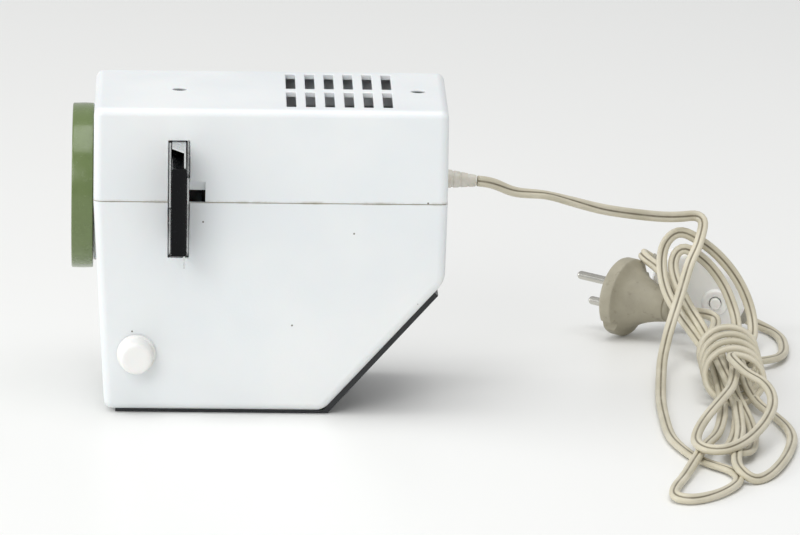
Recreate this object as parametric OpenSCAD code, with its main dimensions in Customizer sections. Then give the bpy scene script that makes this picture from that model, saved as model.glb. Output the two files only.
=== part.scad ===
// Small mains slide projector for mounted slides of 50 x 50 mm.
// The lens looks along -X, the slide changer is drawn out along -Y, and +Z is up.
// The origin is on the flat of the base, under the middle of the housing.

/* [Housing] */
// Length of the housing from its front wall to its rear wall
body_l = 160; // [150:1:195]
// Width of the housing at the parting line
body_w = 94; // [78:1:113]
// Height of the housing above the table
body_h = 141; // [138:1:170]
// Height of the parting line between the two shells
split_z = 98.5; // [96:0.5:102]
// Wall of the two housing shells
wall = 2.4; // [1.8:0.1:3]
// Inward lean of the lower shell's front wall, in degrees
front_draft = 3.3; // [1:0.1:4]
// Inward lean of the lower shell's side and rear walls, in degrees
side_draft = 1.2; // [0.5:0.1:2]
// Round of the housing's upright corners
corner_r = 4; // [3:0.5:6]
// Round of the top edge over the lens
brow_r = 5.5; // [4:0.5:7]
// Distance from the front wall to where the base turns up
base_flat = 107; // [100:1:112]
// Height at which the cut-back base meets the rear wall
cut_z = 55; // [45:1:60]

/* [Focusing] */
// Height of the lens axis
axis_z = 96; // [94:0.5:99]
// Diameter of the green focusing ring
ring_d = 75; // [62:1:90]
// How far the focusing ring stands out of the front wall
ring_out = 10; // [8:0.5:14]
// Outside diameter of the lens barrel
barrel_d = 40; // [34:0.5:44]
// Outside diameter of the focusing ring's sleeve
sleeve_d = 46; // [45.5:0.5:48]
// Travel of the lens barrel
focus_travel = 10; // [6:0.5:10]

/* [Slide gate] */
// Distance from the front wall to the middle of the slide slot
slot_from_front = 38.5; // [38:0.5:42]
// Width of the slide slot
slot_w = 9.6; // [9.6:0.1:11]
// Lowest edge of the slide slot
slot_z0 = 72.5; // [71:0.5:73]
// Height of the slide slot
slot_h = 54; // [53.5:0.5:56]
// Side of the square slide that the changer holds
slide_s = 50; // [50:0.1:50.4]
// Sheet of the gate and of the changer
sheet = 0.8; // [0.6:0.1:1]
// How far the changer stands out of the side wall
changer_out = 27; // [20:1:34]
// Height of the changer's handle block
handle_h = 40; // [34:1:46]

/* [Lamp house] */
// Distance from the slide slot to the lamp's axis
lamp_from_slot = 69.5; // [69:0.5:75]
// Diameter of the lamp's glass
bulb_d = 28; // [24:1:30]
// Inside radius of the mirror behind the lamp
mirror_r = 25; // [22:0.5:25]
// Diameter of the condenser lenses
condenser_d = 50; // [44:0.5:52]
// Height of the chassis plate
chassis_z = 44; // [42:0.5:46]
// Thickness of the chassis plate
chassis_t = 1.5; // [1:0.1:2]

/* [Vents and screws] */
// Width of a vent slot
vent_w = 4.4; // [3:0.1:5]
// Distance between the vent slots
vent_pitch = 8.74; // [8:0.1:10]
// Length of a vent slot
vent_l = 35; // [28:0.5:36]
// Vent slots in a row
vent_count = 6; // [4:1:6]
// Diameter of the recess over a housing screw
recess_d = 6.6; // [6.4:0.1:8]
// Diameter of a screw's shank
screw_d = 3; // [2.5:0.1:3]

/* [Foot] */
// Largest diameter of the clamping knob
knob_d = 17.6; // [15:0.1:22]
// How far the clamping knob stands out of the side wall
knob_out = 13; // [11:0.5:16]
// Distance from the front wall to the knob's axis
knob_from_front = 20; // [19:0.5:21]
// Height of the knob's axis
knob_z = 28; // [26:0.5:30]
// Diameter of the clamping screw
clamp_d = 5; // [4:0.1:6]
// Travel of the foot
foot_travel = 26; // [16:1:28]

/* [Mains lead] */
// Diameter of the round tube that stands for the flat lead
lead_d = 3.6; // [3.2:0.1:3.9]
// Length of the inline switch
switch_l = 46; // [44:1:56]
// Width of the inline switch
switch_w = 32; // [28:1:34]
// Thickness of the inline switch
switch_t = 20; // [18:1:24]
// Diameter of the switch's push button
button_d = 5.4; // [4.8:0.1:7]
// Travel of the switch's push button
button_travel = 2.5; // [1.5:0.1:3]
// Diameter of the plug's face
plug_d = 37; // [36:0.5:38]
// Diameter of a plug pin
pin_d = 4; // [4:0.1:4.8]

/* [Hidden] */
$fn = 48;
slack = 0.05;       // running fit of a turning or sliding piece, on each side
gap = 0.3;          // room between pieces that don't touch
eps = 0.01;

// Housing
front_x = -body_l / 2;
rear_x = body_l / 2;
flat_t = 1.5;       // black base plate on the flat
slope_t = 2.5;      // and on the slope
tongue_h = 3;
shadow_gap = 0.6;
cut_x = front_x + base_flat;
cut_top_x = rear_x - (split_z - cut_z) * tan(side_draft) - 2.7;
slope_l = sqrt(pow(cut_top_x - cut_x, 2) + pow(cut_z, 2));
slope_u = [(cut_top_x - cut_x) / slope_l, cut_z / slope_l];
function drawn_in(z, angle) = z < split_z ? (split_z - z) * tan(angle) : 0;
function front_at(z) = front_x + drawn_in(z, front_draft);
function rear_at(z) = rear_x - drawn_in(z, side_draft);
function side_at(z) = body_w / 2 - drawn_in(z, side_draft);
// Where a line parallel to the slope, depth inside it, is at height z
function slope_x(z, depth) = cut_x + (z * slope_u[0] - depth) / slope_u[1];
function slope_z(x, depth) = (depth + (x - cut_x) * slope_u[1]) / slope_u[0];

// Gate
slot_x = front_x + slot_from_front;
slot_z1 = slot_z0 + slot_h;
changer_x0 = -3.2;  // the changer's faces, from the middle of the slot
changer_x1 = 3.4;
web_x = 2.3;        // the face that the slide's springs stand on
changer_z0 = slot_z0 + 0.6;
changer_z1 = slot_z1 - 0.3;
slide_z = changer_z0 + sheet + slide_s / 2;
changer_y0 = -body_w / 2 - changer_out;
changer_y1 = body_w / 2 - wall - 2.6;
gate_y = body_w / 2 - wall - 2.6;
pocket = slide_s / 2 + 0.5;
window = 36;
bridge_z0 = slot_z1 + 1.5;
bridge_z1 = body_h - wall - 7;

// Focusing
ring_x0 = front_x - ring_out;
ring_x1 = front_x - gap;
mount_x0 = front_x + 5;
mount_x1 = mount_x0 + 12;
mount_plate_x = mount_x0 + 5;
sleeve_x1 = mount_x1 + 2.5;
barrel_x0 = ring_x0 + 1.5;
barrel_x1 = slot_x - 6;
shoulder_d = sleeve_d + 2;
key_x0 = sleeve_x1 + 0.5;
key_x1 = key_x0 + 3;
key_w = 3;
groove_z = axis_z - barrel_d / 2 + 1.5;

// Lamp house
chassis_top = chassis_z + chassis_t;
lamp_x = slot_x + lamp_from_slot;
cap_z = chassis_top + 6;
holder_x0 = slot_x + 10.5;
holder_x1 = holder_x0 + 40;
holder_d = condenser_d + 4;
holder_bore = condenser_d + 0.2;
chassis_x0 = front_x + 10;
chassis_x1 = lamp_x + 30;
shield_y = min(31, gate_y - 8);
chassis_y = gate_y - 2;
post_y = (shield_y + gate_y) / 2 - 0.5;
front_post = [front_x + 18, post_y - 3];
posts = [front_post, [slot_x + 13.5, -post_y], [lamp_x - 8, post_y], [lamp_x - 8, -post_y]];
bosses = [for (x = [slot_x + 6.5, lamp_x - 16], y = [-24, 24]) [x, y]];

// Screws that hold the upper shell: x, top of the head, length of the shank
front_screw = [slot_x, body_h - 4, body_h - 6 - bridge_z0 - 0.5];
rear_screw = [rear_x - 13, body_h - 6, body_h - 8 - split_z + 8];
head_d = 5.6;
head_h = 2;

// Foot
foot_x = front_x + knob_from_front;
knob_y = -side_at(knob_z) - 0.5;
leg_w = 14;
leg_t = 5;
leg_y = -30;        // the leg's outer face
leg_top = knob_z + foot_travel + clamp_d / 2 + 5;
leg_z0 = 3;
slot_end = clamp_d / 2 + 0.1;

// Lead and what is on it
relief_y = 11;
relief_z = split_z;
relief_l = 14.5;
relief_d = 8.6;
relief_dip = 4;
lead_r = lead_d / 2;
function past_relief(s) = [rear_x + s * cos(relief_dip), relief_y, relief_z - s * sin(relief_dip)];
hank_h = 18;
hank_x0 = 199;
hank_x1 = 232;
hank_y0 = -215;
hank_y1 = 92;
fan_x0 = 178;       // the front loops fan out wider than the tied middle
fan_y1 = -122;
switch_at = [205, 139, 19.8];
switch_tilt = 32;   // the switch leans, with its upper end to the left
button_off = 8.5;   // from the middle of the switch, along it
plug_at = [166.1, 126.5, 19.2];
plug_turn = 146;    // direction in which the pins point, from +X
plug_tilt = 4;      // and how far up
plug_roll = -40;
plug_l = 36;
pin_l = 19;
pin_gap = 19;
pin_root = 6;       // how deep the pins are moulded in
button_top = switch_t / 2 + 4.5;
function past_switch(s) = switch_at + s * [cos(switch_tilt), 0, -sin(switch_tilt)];
function behind_plug(s) = plug_at - (plug_l + s)
    * [cos(plug_tilt) * cos(plug_turn), cos(plug_tilt) * sin(plug_turn), sin(plug_tilt)];
// The lead from the strain relief over the switch and down to the hank
lead_route = [
    past_relief(relief_l + 0.5), past_relief(relief_l + 3.5), [104, 18, 94.4],
    [112.9, 26, 89.3], [127.2, 38, 85.6], [139.3, 50, 80.3], [154.9, 65, 73.5], [171.1, 82, 67.7],
    [186, 98, 63.1], [196, 108, 61.3], [201.8, 112, 61.2], [204.6, 109.5, 59.6], [204.3, 105, 56.6],
    [201.3, 97, 48.6], [197.8, 91, 43.1], [192.8, 79, 29.9], [187.1, 62, 17], [184.8, 51, 11.8],
    [182.8, 37, 7.9], [181.4, 18, 5.1], [180.2, -3, 3.4], [179.4, -23, 2.4], [179.4, -51, 1.9],
    [180.1, -82, 1.9], [182.6, -103, 1.9], [188, -124, 1.9]];
// The lead from the hank to the switch's lower end
tail_in = [[229, 55, 4.5], [234, 59, 4], [239, 69, 3], [242, 83, 2.2], [243, 99, 1.9], [242.5, 114, 1.9],
    [240, 126, 1.9], [236.5, 133.5, 2.3], past_switch(switch_l / 2 + 5), past_switch(switch_l / 2)];
// The lead from the switch's upper end back to the hank
tail_out = [past_switch(-switch_l / 2), past_switch(-switch_l / 2 - 4), [178.4, 137.5, 37],
    [177.2, 132.5, 38], [179.5, 127, 36.4], [183.5, 120.5, 34.6], [187.5, 112, 31.4], [191.5, 103, 24.4],
    [196, 94, 15.5], [200, 88, 12], [204, 82, 10]];
// The lead from the hank to the plug
tail_plug = [[206, 78, 11.5], [208, 87, 14.6], [207.6, 94, 16.4], behind_plug(7), behind_plug(0)];

white = "#E9ECEE";
olive = "#7B8C55";
black_steel = "#1B1C1E";
aluminium = "#C4C6C6";
steel = "#9FA2A4";
glass_tint = "#CFE3E0";
black_plastic = "#131416";
beige = "#CBC4B2";
plug_grey = "#A9A491";
brass = "#B89A55";

// ---------- helpers ----------

// Turns a shape drawn along Z to lie along X on the lens axis
module on_axis(x = 0) translate([x, 0, axis_z]) rotate([0, 90, 0]) children();

module rod_x(x0, x1, d) on_axis(x0) cylinder(d = d, h = x1 - x0);

module block(low, high) translate(low) cube(high - low);

// A round glass on the lens axis, domed inside its clear diameter, with a flat rim
module glass(x0, edge, d, clear, bulge_front, bulge_rear) {
    r = clear / 2;
    n = 10;
    front = [for (i = [0:n]) [r * i / n, -bulge_front * (1 - pow(i / n, 2))]];
    rear = [for (i = [n:-1:0]) [r * i / n, edge + bulge_rear * (1 - pow(i / n, 2))]];
    on_axis(x0) rotate_extrude() polygon(concat(front, [[d / 2, 0], [d / 2, edge]], rear));
}

module ring_on_axis(x0, x1, d_out, d_in) difference() {
    rod_x(x0, x1, d_out);
    rod_x(x0 - 1, x1 + 1, d_in);
}

module rounded_outline(x0, x1, y, r) {
    translate([x0, -y + r]) square([x1 - x0, 2 * (y - r)]);
    translate([x0 + r, -y]) square([x1 - x0 - 2 * r, 2 * y]);
    for (x = [x0 + r, x1 - r], s = [-1, 1]) translate([x, s * (y - r)]) circle(r = r);
}

// A tube of 8 sides that follows smooth curves through the points of a route
sides = 8;
function unit(v) = v / norm(v);
function spline(a, b, c, d, t) = 0.5 * (2 * b + (c - a) * t + (2 * a - 5 * b + 4 * c - d) * t * t
    + (3 * b - a - 3 * c + d) * t * t * t);
function smooth(p, steps) = let (n = len(p) - 1) concat(
    [for (i = [0:n - 1], k = [0:steps - 1])
        spline(p[max(i - 1, 0)], p[i], p[i + 1], p[min(i + 2, n)], k / steps)],
    [p[n]]);
function heading(p, i) = unit(p[min(i + 1, len(p) - 1)] - p[max(i - 1, 0)]);
function across(v) = unit(cross(v, abs(v[2]) > 0.95 ? [1, 0, 0] : [0, 0, 1]));
module sweep(path, r) {
    rings = [for (i = [0:len(path) - 1])
        let (v = heading(path, i), a = across(v), b = cross(a, v))
        for (k = [0:sides - 1])
            path[i] + r * (cos(360 * k / sides) * a + sin(360 * k / sides) * b)];
    last = (len(path) - 1) * sides;
    faces = concat(
        [[for (k = [sides - 1:-1:0]) k]],
        [[for (k = [0:sides - 1]) last + k]],
        [for (i = [0:len(path) - 2], k = [0:sides - 1])
            let (a = i * sides + k, b = i * sides + (k + 1) % sides)
            [a, b, b + sides, a + sides]]);
    polyhedron(rings, faces, convexity = 10);
}

// ---------- housing ----------

module corner_ball(x, y, z, r) translate([x, y, z]) sphere(r = r, $fn = 32);

module upper_outside() {
    top_r = 3.6;
    hull() {
        translate([0, 0, split_z]) linear_extrude(1)
            rounded_outline(front_x, rear_x, body_w / 2, corner_r);
        for (s = [-1, 1]) {
            corner_ball(front_x + brow_r, s * (body_w / 2 - brow_r), body_h - brow_r, brow_r);
            corner_ball(rear_x - top_r, s * (body_w / 2 - top_r), body_h - top_r, top_r);
        }
    }
}

module lower_outside() {
    toe_r = 6;
    toe_z = flat_t + toe_r;
    bend_z = flat_t + corner_r;
    heel_x = rear_at(cut_z) - corner_r;
    heel_z = slope_z(heel_x, slope_t + corner_r);
    hull() {
        translate([0, 0, split_z - shadow_gap - 1]) linear_extrude(1)
            rounded_outline(front_x + 0.1, rear_x - 0.05, body_w / 2 - 0.05, corner_r);
        for (s = [-1, 1]) {
            corner_ball(front_at(toe_z) + toe_r, s * (side_at(toe_z) - toe_r), toe_z, toe_r);
            corner_ball(slope_x(bend_z, slope_t + corner_r), s * (side_at(bend_z) - corner_r),
                bend_z, corner_r);
            corner_ball(heel_x, s * (side_at(heel_z) - corner_r), heel_z, corner_r);
        }
    }
}

// The hollow of the lower shell keeps one wall inside its drafted faces
module lower_hollow() {
    z0 = flat_t + wall;
    depth = slope_t + wall;
    heel_x = rear_at(cut_z) - wall;
    top = split_z + tongue_h + 1;
    intersection() {
        rotate([90, 0, 0]) translate([0, 0, -body_w]) linear_extrude(2 * body_w) polygon([
            [front_at(z0) + wall, z0], [slope_x(z0, depth), z0], [heel_x, slope_z(heel_x, depth)],
            [rear_x - wall, split_z], [rear_x - wall, top], [front_x + wall, top],
            [front_x + wall, split_z]]);
        rotate([90, 0, 90]) translate([0, 0, -body_l]) linear_extrude(2 * body_l) polygon([
            for (s = [-1, 1], z = s < 0 ? [top, split_z, z0] : [z0, split_z, top])
                [s * (side_at(z) - wall), z]]);
    }
}

module tongue_ring(inset, z0, z1) translate([0, 0, z0]) linear_extrude(z1 - z0)
    rounded_outline(front_x + inset, rear_x - inset, body_w / 2 - inset, corner_r - inset);

module slot_cut() block([slot_x - slot_w / 2, -body_w, slot_z0], [slot_x + slot_w / 2, -body_w / 2 + wall + 1, slot_z1]);

// The finger scoop beside the slot opens at the parting line
module scoop_cut() {
    scoop_w = 7.2;
    scoop_h = 9.6;
    translate([slot_x + slot_w / 2 - 1, -body_w / 2 - 1, split_z]) rotate([0, 90, 0])
        linear_extrude(scoop_w + 1) polygon([[2, -1], [2, wall + 2], [-3.5, wall + 2],
            [-scoop_h + 1.2, 1.5], [-scoop_h, 0.6], [-scoop_h, -1]]);
}

module vents() for (i = [0:vent_count - 1], s = [-1, 1])
    translate([slot_x + 48.3 + i * vent_pitch, s * (vent_l / 2 + 3.5) - vent_l / 2, body_h - wall - 1])
        cube([vent_w, vent_l, wall + 2]);

module lens_hole() rod_x(front_x - 1, front_x + wall + 3, shoulder_d + 1.2);

module relief_hole() translate([rear_x - 10, relief_y, relief_z]) rotate([0, 90, 0])
    cylinder(d = 6.4, h = 20);

module upper_housing() color(white) difference() {
    union() {
        difference() {
            upper_outside();
            translate([0, 0, split_z - 1]) linear_extrude(body_h - wall - split_z + 1)
                rounded_outline(front_x + wall, rear_x - wall, body_w / 2 - wall, corner_r - wall);
            tongue_ring(wall / 2, split_z - 1, split_z + tongue_h);
        }
        translate([front_screw[0], 0, bridge_z1]) cylinder(d = 10, h = body_h - bridge_z1 - 1);
        translate([rear_screw[0], 0, split_z + 2]) cylinder(d = 9, h = body_h - split_z - 3);
    }
    for (s = [front_screw, rear_screw]) translate([s[0], 0, 0]) {
        translate([0, 0, s[1] - head_h]) cylinder(d = recess_d, h = 10);
        translate([0, 0, split_z]) cylinder(d = screw_d + 0.4, h = body_h);
    }
    vents();
    slot_cut();
    scoop_cut();
    lens_hole();
    relief_hole();
}

module post(at, z1, d, floor_z) translate([at[0], at[1], floor_z]) difference() {
    cylinder(d = d, h = z1 - floor_z);
    translate([0, 0, 2]) cylinder(d = screw_d, h = z1);
}

module lower_housing() color(white) {
    floor_z = flat_t + wall;
    difference() {
        union() {
            difference() {
                union() {
                    lower_outside();
                    tongue_ring(wall / 2 + 0.1, split_z - 2, split_z + tongue_h);
                }
                lower_hollow();
            }
            for (p = posts) post(p, chassis_z, 7, floor_z - 1);
            for (p = bosses) post(p, floor_z + 8, 7, floor_z - 1);
            rear_boss();
        }
        slot_cut();
        lens_hole();
        relief_hole();
        translate([foot_x, -body_w, knob_z]) rotate([-90, 0, 0]) cylinder(d = clamp_d + 0.6, h = body_w / 2 + 6);
        block([foot_x - leg_w / 2 - gap, leg_y - gap, 0], [foot_x + leg_w / 2 + gap, leg_y + leg_t + gap, floor_z + 1]);
        for (p = bosses) translate([p[0], p[1], 0]) cylinder(d = screw_d, h = floor_z + 6);
        for (i = [0:3]) block([slot_x + 14 + 7 * i, -18, 0], [slot_x + 18 + 7 * i, 18, floor_z + 1]);
    }
}

// The boss for the rear screw stands out of the rear wall
module rear_boss() difference() {
    union() {
        translate([rear_screw[0], 0, split_z - 22]) cylinder(d = 9, h = 23.5);
        block([rear_screw[0], -3, split_z - 22], [rear_at(split_z - 22) - wall + 0.5, 3, split_z - 4]);
    }
    translate([rear_screw[0], 0, split_z - 12]) cylinder(d = screw_d, h = 20);
}

module base_plate() color(black_steel) {
    toe_x = front_at(0) + 5;
    half = side_at(0) - 3.5;
    rib_l = 44;
    difference() {
        rotate([90, 0, 0]) translate([0, 0, -half]) linear_extrude(2 * half) polygon([
            [toe_x, 0], [cut_x, 0], [cut_top_x, cut_z],
            [cut_top_x - slope_t * slope_u[1], cut_z + slope_t * slope_u[0]],
            [slope_x(flat_t, slope_t), flat_t], [toe_x, flat_t]]);
        block([foot_x - leg_w / 2 - gap, leg_y - gap, -1], [foot_x + leg_w / 2 + gap, leg_y + leg_t + gap, 3]);
        for (i = [0:3]) block([slot_x + 14 + 7 * i, -18, -1], [slot_x + 18 + 7 * i, 18, 3]);
        for (p = bosses) translate([p[0], p[1], 0]) {
            translate([0, 0, -1]) cylinder(d = screw_d + 0.4, h = 4);
            translate([0, 0, -eps]) cylinder(d1 = head_d + 0.4, d2 = screw_d + 0.4, h = 1.4);
        }
        for (i = [0:4]) translate([cut_x, -rib_l / 2, 0]) rotate([0, -atan2(slope_u[1], slope_u[0]), 0])
            translate([16 + 9 * i, 0, -1]) cube([4, rib_l, slope_t + 2]);
    }
}

module housing_screws() color(steel) for (s = [front_screw, rear_screw])
    translate([s[0], 0, s[1] - head_h]) difference() {
        union() {
            cylinder(d = head_d, h = head_h);
            translate([0, 0, -s[2]]) cylinder(d = screw_d - 0.1, h = s[2] + 0.1);
        }
        translate([-head_d / 2 - 1, -0.4, head_h - 0.8]) cube([head_d + 2, 0.8, 2]);
    }

module base_screws() color(steel) for (p = bosses) translate([p[0], p[1], 0.1]) difference() {
    union() {
        cylinder(d1 = head_d, d2 = screw_d - 0.1, h = 1.3);
        cylinder(d = screw_d - 0.1, h = 8);
    }
    translate([-head_d, -0.4, -1]) cube([2 * head_d, 0.8, 1.6]);
}

// ---------- focusing lens ----------

module focus_ring() color(olive) {
    edge = 1.4;
    dish_d = ring_d - 12;
    bore = barrel_d + 2 * slack;
    face = [for (a = [0:15:90]) [ring_d / 2 - edge + edge * sin(a), edge - edge * cos(a)]];
    on_axis(ring_x0) rotate_extrude() polygon(concat(
        [[bore / 2, 3.2], [sleeve_d / 2, 3.2], [dish_d / 2, 0]], face,
        [[ring_d / 2, ring_x1 - ring_x0], [shoulder_d / 2, ring_x1 - ring_x0],
            [shoulder_d / 2, mount_x0 - 0.1 - ring_x0], [sleeve_d / 2, mount_x0 - 0.1 - ring_x0],
            [sleeve_d / 2, sleeve_x1 - ring_x0], [bore / 2, sleeve_x1 - ring_x0]]));
}

module ring_clip() color(steel) ring_on_axis(mount_x1 + 0.1, mount_x1 + 1.3, sleeve_d + 4, sleeve_d + 0.02);

module lens_mount() color(black_steel) {
    half = min(29, gate_y - 4);
    difference() {
        union() {
            rod_x(mount_x0, mount_x1, sleeve_d + 6);
            block([mount_plate_x, -half, chassis_top], [mount_plate_x + 2, half, axis_z + half]);
            block([mount_plate_x, -12, chassis_top], [mount_plate_x + 12, half, chassis_top + 2]);
        }
        rod_x(mount_x0 - 1, mount_x1 + 1, sleeve_d + 2 * slack);
    }
}

module focus_key() color(steel) {
    bar_z = axis_z - sleeve_d / 2 - 6;
    block([mount_plate_x + 2, -key_w / 2, bar_z], [key_x1, key_w / 2, bar_z + 3]);
    block([key_x0, -key_w / 2, bar_z], [key_x1, key_w / 2, groove_z - 0.2]);
}

module lens_barrel() color("#2A2B2D") {
    seat = barrel_x0 + 9;
    difference() {
        rod_x(barrel_x0, barrel_x1, barrel_d);
        rod_x(barrel_x0 - 1, seat, barrel_d - 6);
        rod_x(seat - 1, barrel_x1 + 1, barrel_d - 12);
        rod_x(barrel_x1 - 22, barrel_x1 + 1, barrel_d - 10);
        block([key_x0 - 0.5, -key_w / 2 - slack, axis_z - barrel_d], [barrel_x1 + 1, key_w / 2 + slack, groove_z]);
    }
}

module front_glass() color(glass_tint, 0.5) glass(barrel_x0 + 4.5, 4.5, barrel_d - 6.1, barrel_d - 12.5, 2, 0.6);
module middle_glass() color(glass_tint, 0.5) glass(barrel_x0 + 12.5, 3, barrel_d - 12.1, barrel_d - 14, -0.8, -0.8);
module rear_glass() color(glass_tint, 0.5) glass(barrel_x1 - 22, 4, barrel_d - 10.1, barrel_d - 13.5, 0.5, 1.6);
module front_retainer() color("#2A2B2D") ring_on_axis(barrel_x0 + 3, barrel_x0 + 4.5, barrel_d - 6.05, barrel_d - 10);
module rear_retainer() color("#2A2B2D") ring_on_axis(barrel_x1 - 18, barrel_x1 - 16.5, barrel_d - 10.05, barrel_d - 13);

// ---------- slide gate and changer ----------

module gate_frame() color(aluminium) {
    front = [slot_x + changer_x0 - 0.4 - sheet, slot_x + changer_x0 - 0.4];
    rear = [slot_x + changer_x1 + 0.4, slot_x + changer_x1 + 0.4 + sheet];
    foot = min(30, gate_y - 8);
    difference() {
        union() {
            for (p = [front, rear]) block([p[0], -gate_y, chassis_top], [p[1], gate_y, bridge_z1]);
            block([front[0], -gate_y, changer_z0 - 1.1], [rear[1], gate_y, changer_z0 - 0.1]);
            block([front[0], -10, bridge_z0], [rear[1], 10, bridge_z1]);
            block([front[0] - 6, -foot, chassis_top], [front[1], foot, chassis_top + 1.2]);
            block([rear[0], -foot, chassis_top], [rear[1] + 6, foot, chassis_top + 1.2]);
            // lips that guide the changer through the wall
            translate([front[0], 0, 0]) rotate([90, 0, 90]) linear_extrude(sheet) polygon([
                [-gate_y + 1, slot_z1 - 0.8], [-body_w / 2 - 1.2, slot_z1 - 0.8],
                [-body_w / 2 - 1.2, split_z - 2.5], [-body_w / 2 + 1, split_z - 4], [-gate_y + 1, split_z - 4]]);
            block([rear[0], -body_w / 2 - 0.6, split_z - 1], [rear[1], -gate_y + 1, split_z + 11]);
        }
        translate([front[0] - 1, -window / 2 - 1, slide_z - window / 2 - 1])
            cube([rear[1] - front[0] + 2, window + 2, window + 2]);
        translate([slot_x, 0, bridge_z0 - 1]) cylinder(d = screw_d, h = 10);
    }
}

module changer_frame() color(aluminium) {
    x0 = slot_x + changer_x0 + 0.1;
    x1 = slot_x + web_x;
    top = changer_z1 - sheet;
    near = changer_y0 + 1.5;
    lip = 4;
    block([x0, -pocket - 2, changer_z0], [x1 + sheet, changer_y1, changer_z0 + sheet]);
    for (z = [[changer_z0, changer_z0 + sheet + lip], [top - lip, changer_z1]])
        block([x0, -pocket, z[0]], [x0 + sheet, pocket, z[1]]);
    block([x0, pocket, changer_z0], [x1 + sheet, pocket + sheet, changer_z1]);
    translate([0, 0, top]) linear_extrude(sheet) polygon([[x0, changer_y1], [x0, -body_w / 2 - 13],
        [x1 + sheet, -body_w / 2 - 24], [x1 + sheet, changer_y1]]);
    difference() {
        block([x1, near, changer_z0], [x1 + sheet, changer_y1, changer_z1]);
        block([x1 - 1, -window / 2, slide_z - window / 2], [x1 + 2, window / 2, slide_z + window / 2]);
    }
}

module changer_handle() color(black_plastic) {
    z0 = slot_z0 + (slot_h - handle_h) / 2 - 0.5;
    difference() {
        block([slot_x + changer_x0, changer_y0, z0], [slot_x + changer_x1, -pocket - 0.5, z0 + handle_h]);
        block([slot_x + web_x, changer_y0 + 1.5, z0 - 1], [slot_x + web_x + sheet, 0, z0 + handle_h + 1]);
    }
}

module slide_springs() color(steel) for (y = [-21, 21])
    block([slot_x + web_x - 0.3, y - 2, slide_z - 16], [slot_x + web_x, y + 2, slide_z + 16]);

// ---------- chassis and lamp house ----------

module chassis() color(steel) difference() {
    block([chassis_x0, -chassis_y, chassis_z], [chassis_x1, chassis_y, chassis_top]);
    block([chassis_x0 - 1, -body_w, chassis_z - 1], [foot_x + leg_w / 2 + 2, -13, chassis_top + 1]);
    block([chassis_x1 - 10, 8, chassis_z - 1], [chassis_x1 + 1, 24, chassis_top + 1]);
    for (p = posts) translate([p[0], p[1], chassis_z - 1]) cylinder(d = screw_d + 0.4, h = 4);
    translate([lamp_x, 0, chassis_z - 1]) cylinder(d = 10, h = 4);
    for (x = [slot_x + 16, slot_x + 44], y = [-18, 14]) block([x, y, chassis_z - 1], [x + 8, y + 5, chassis_top + 1]);
}

module chassis_screws() color(steel) for (p = posts) translate([p[0], p[1], chassis_top]) {
    cylinder(d = head_d, h = head_h);
    translate([0, 0, -10]) cylinder(d = screw_d - 0.1, h = 10.1);
}

module condenser_holder() color(black_steel) {
    clear = condenser_d - 4;
    difference() {
        union() {
            rod_x(holder_x0, holder_x1, holder_d);
            block([holder_x0 + 11, -12, chassis_top], [holder_x0 + 27, 12, axis_z - clear / 2]);
        }
        rod_x(holder_x0 - 1, holder_x1 + 1, clear);
        rod_x(holder_x0 - 1, holder_x0 + 7, holder_bore);
        rod_x(holder_x0 + 17, holder_x0 + 21.5, holder_bore);
        rod_x(holder_x0 + 33, holder_x1 + 1, holder_bore);
        rod_x(holder_x0 + 20, holder_x0 + 32, holder_bore);
    }
}

module condenser_front() color(glass_tint, 0.5) glass(holder_x0 + 4, 3, condenser_d, condenser_d - 4.5, 0, 8);
module condenser_rear() color(glass_tint, 0.5) glass(holder_x0 + 33, 3, condenser_d, condenser_d - 4.5, 8, 0);
module heat_filter() color("#BFD8D2", 0.5) rod_x(holder_x0 + 17, holder_x0 + 20, condenser_d);
module condenser_rings() color(steel) for (x = [2.5, 20, 36])
    ring_on_axis(holder_x0 + x, holder_x0 + x + 1.5, holder_bore - 0.05, condenser_d - 4);

module lamp_socket() color("#E6E0D2") translate([lamp_x, 0, chassis_top]) difference() {
    cylinder(d = 24, h = 20);
    translate([0, 0, 6]) cylinder(d = 15.2, h = 20);
    translate([0, 0, -1]) cylinder(d = 6, h = 20);
}

module lamp_cap() color(brass) translate([lamp_x, 0, cap_z]) {
    cylinder(d = 15, h = 21.5);
    rotate([90, 0, 0]) translate([0, 16, -8.6]) cylinder(d = 2, h = 17.2);
}

module lamp_bulb() color("#EDF3F4", 0.4) {
    r = bulb_d / 2;
    z0 = cap_z + 21.5;
    z1 = axis_z + 30;
    outer = [for (a = [0:15:90]) [r * cos(a), z1 - r + r * sin(a)]];
    inner = [for (a = [90:-15:0]) [(r - 1) * cos(a), z1 - r + (r - 1) * sin(a)]];
    translate([lamp_x, 0, 0]) rotate_extrude() polygon(concat(
        [[6, z0], [7, z0], [7, z0 + 3], [r, z0 + 9]], outer, inner, [[r - 1, z0 + 9.4], [6, z0 + 3.4]]));
}

module lamp_filament() color("#8E8A84") translate([lamp_x, 0, 0]) {
    for (y = [-4, 4]) translate([0, y, cap_z + 21.5]) cylinder(d = 0.8, h = axis_z - cap_z - 17.5);
    for (z = [-4, 0, 4]) translate([0, -4, axis_z + z]) rotate([-90, 0, 0]) cylinder(d = 1, h = 8);
}

module mirror() color("#D9DDDE") {
    step = 11;
    inner = [for (a = [0:step:55]) mirror_r * [sin(a), cos(a)]];
    outer = [for (a = [55:-step:0]) (mirror_r + 1) * [sin(a), cos(a)]];
    on_axis(lamp_x) rotate_extrude() polygon(concat(inner, outer));
}

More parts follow.
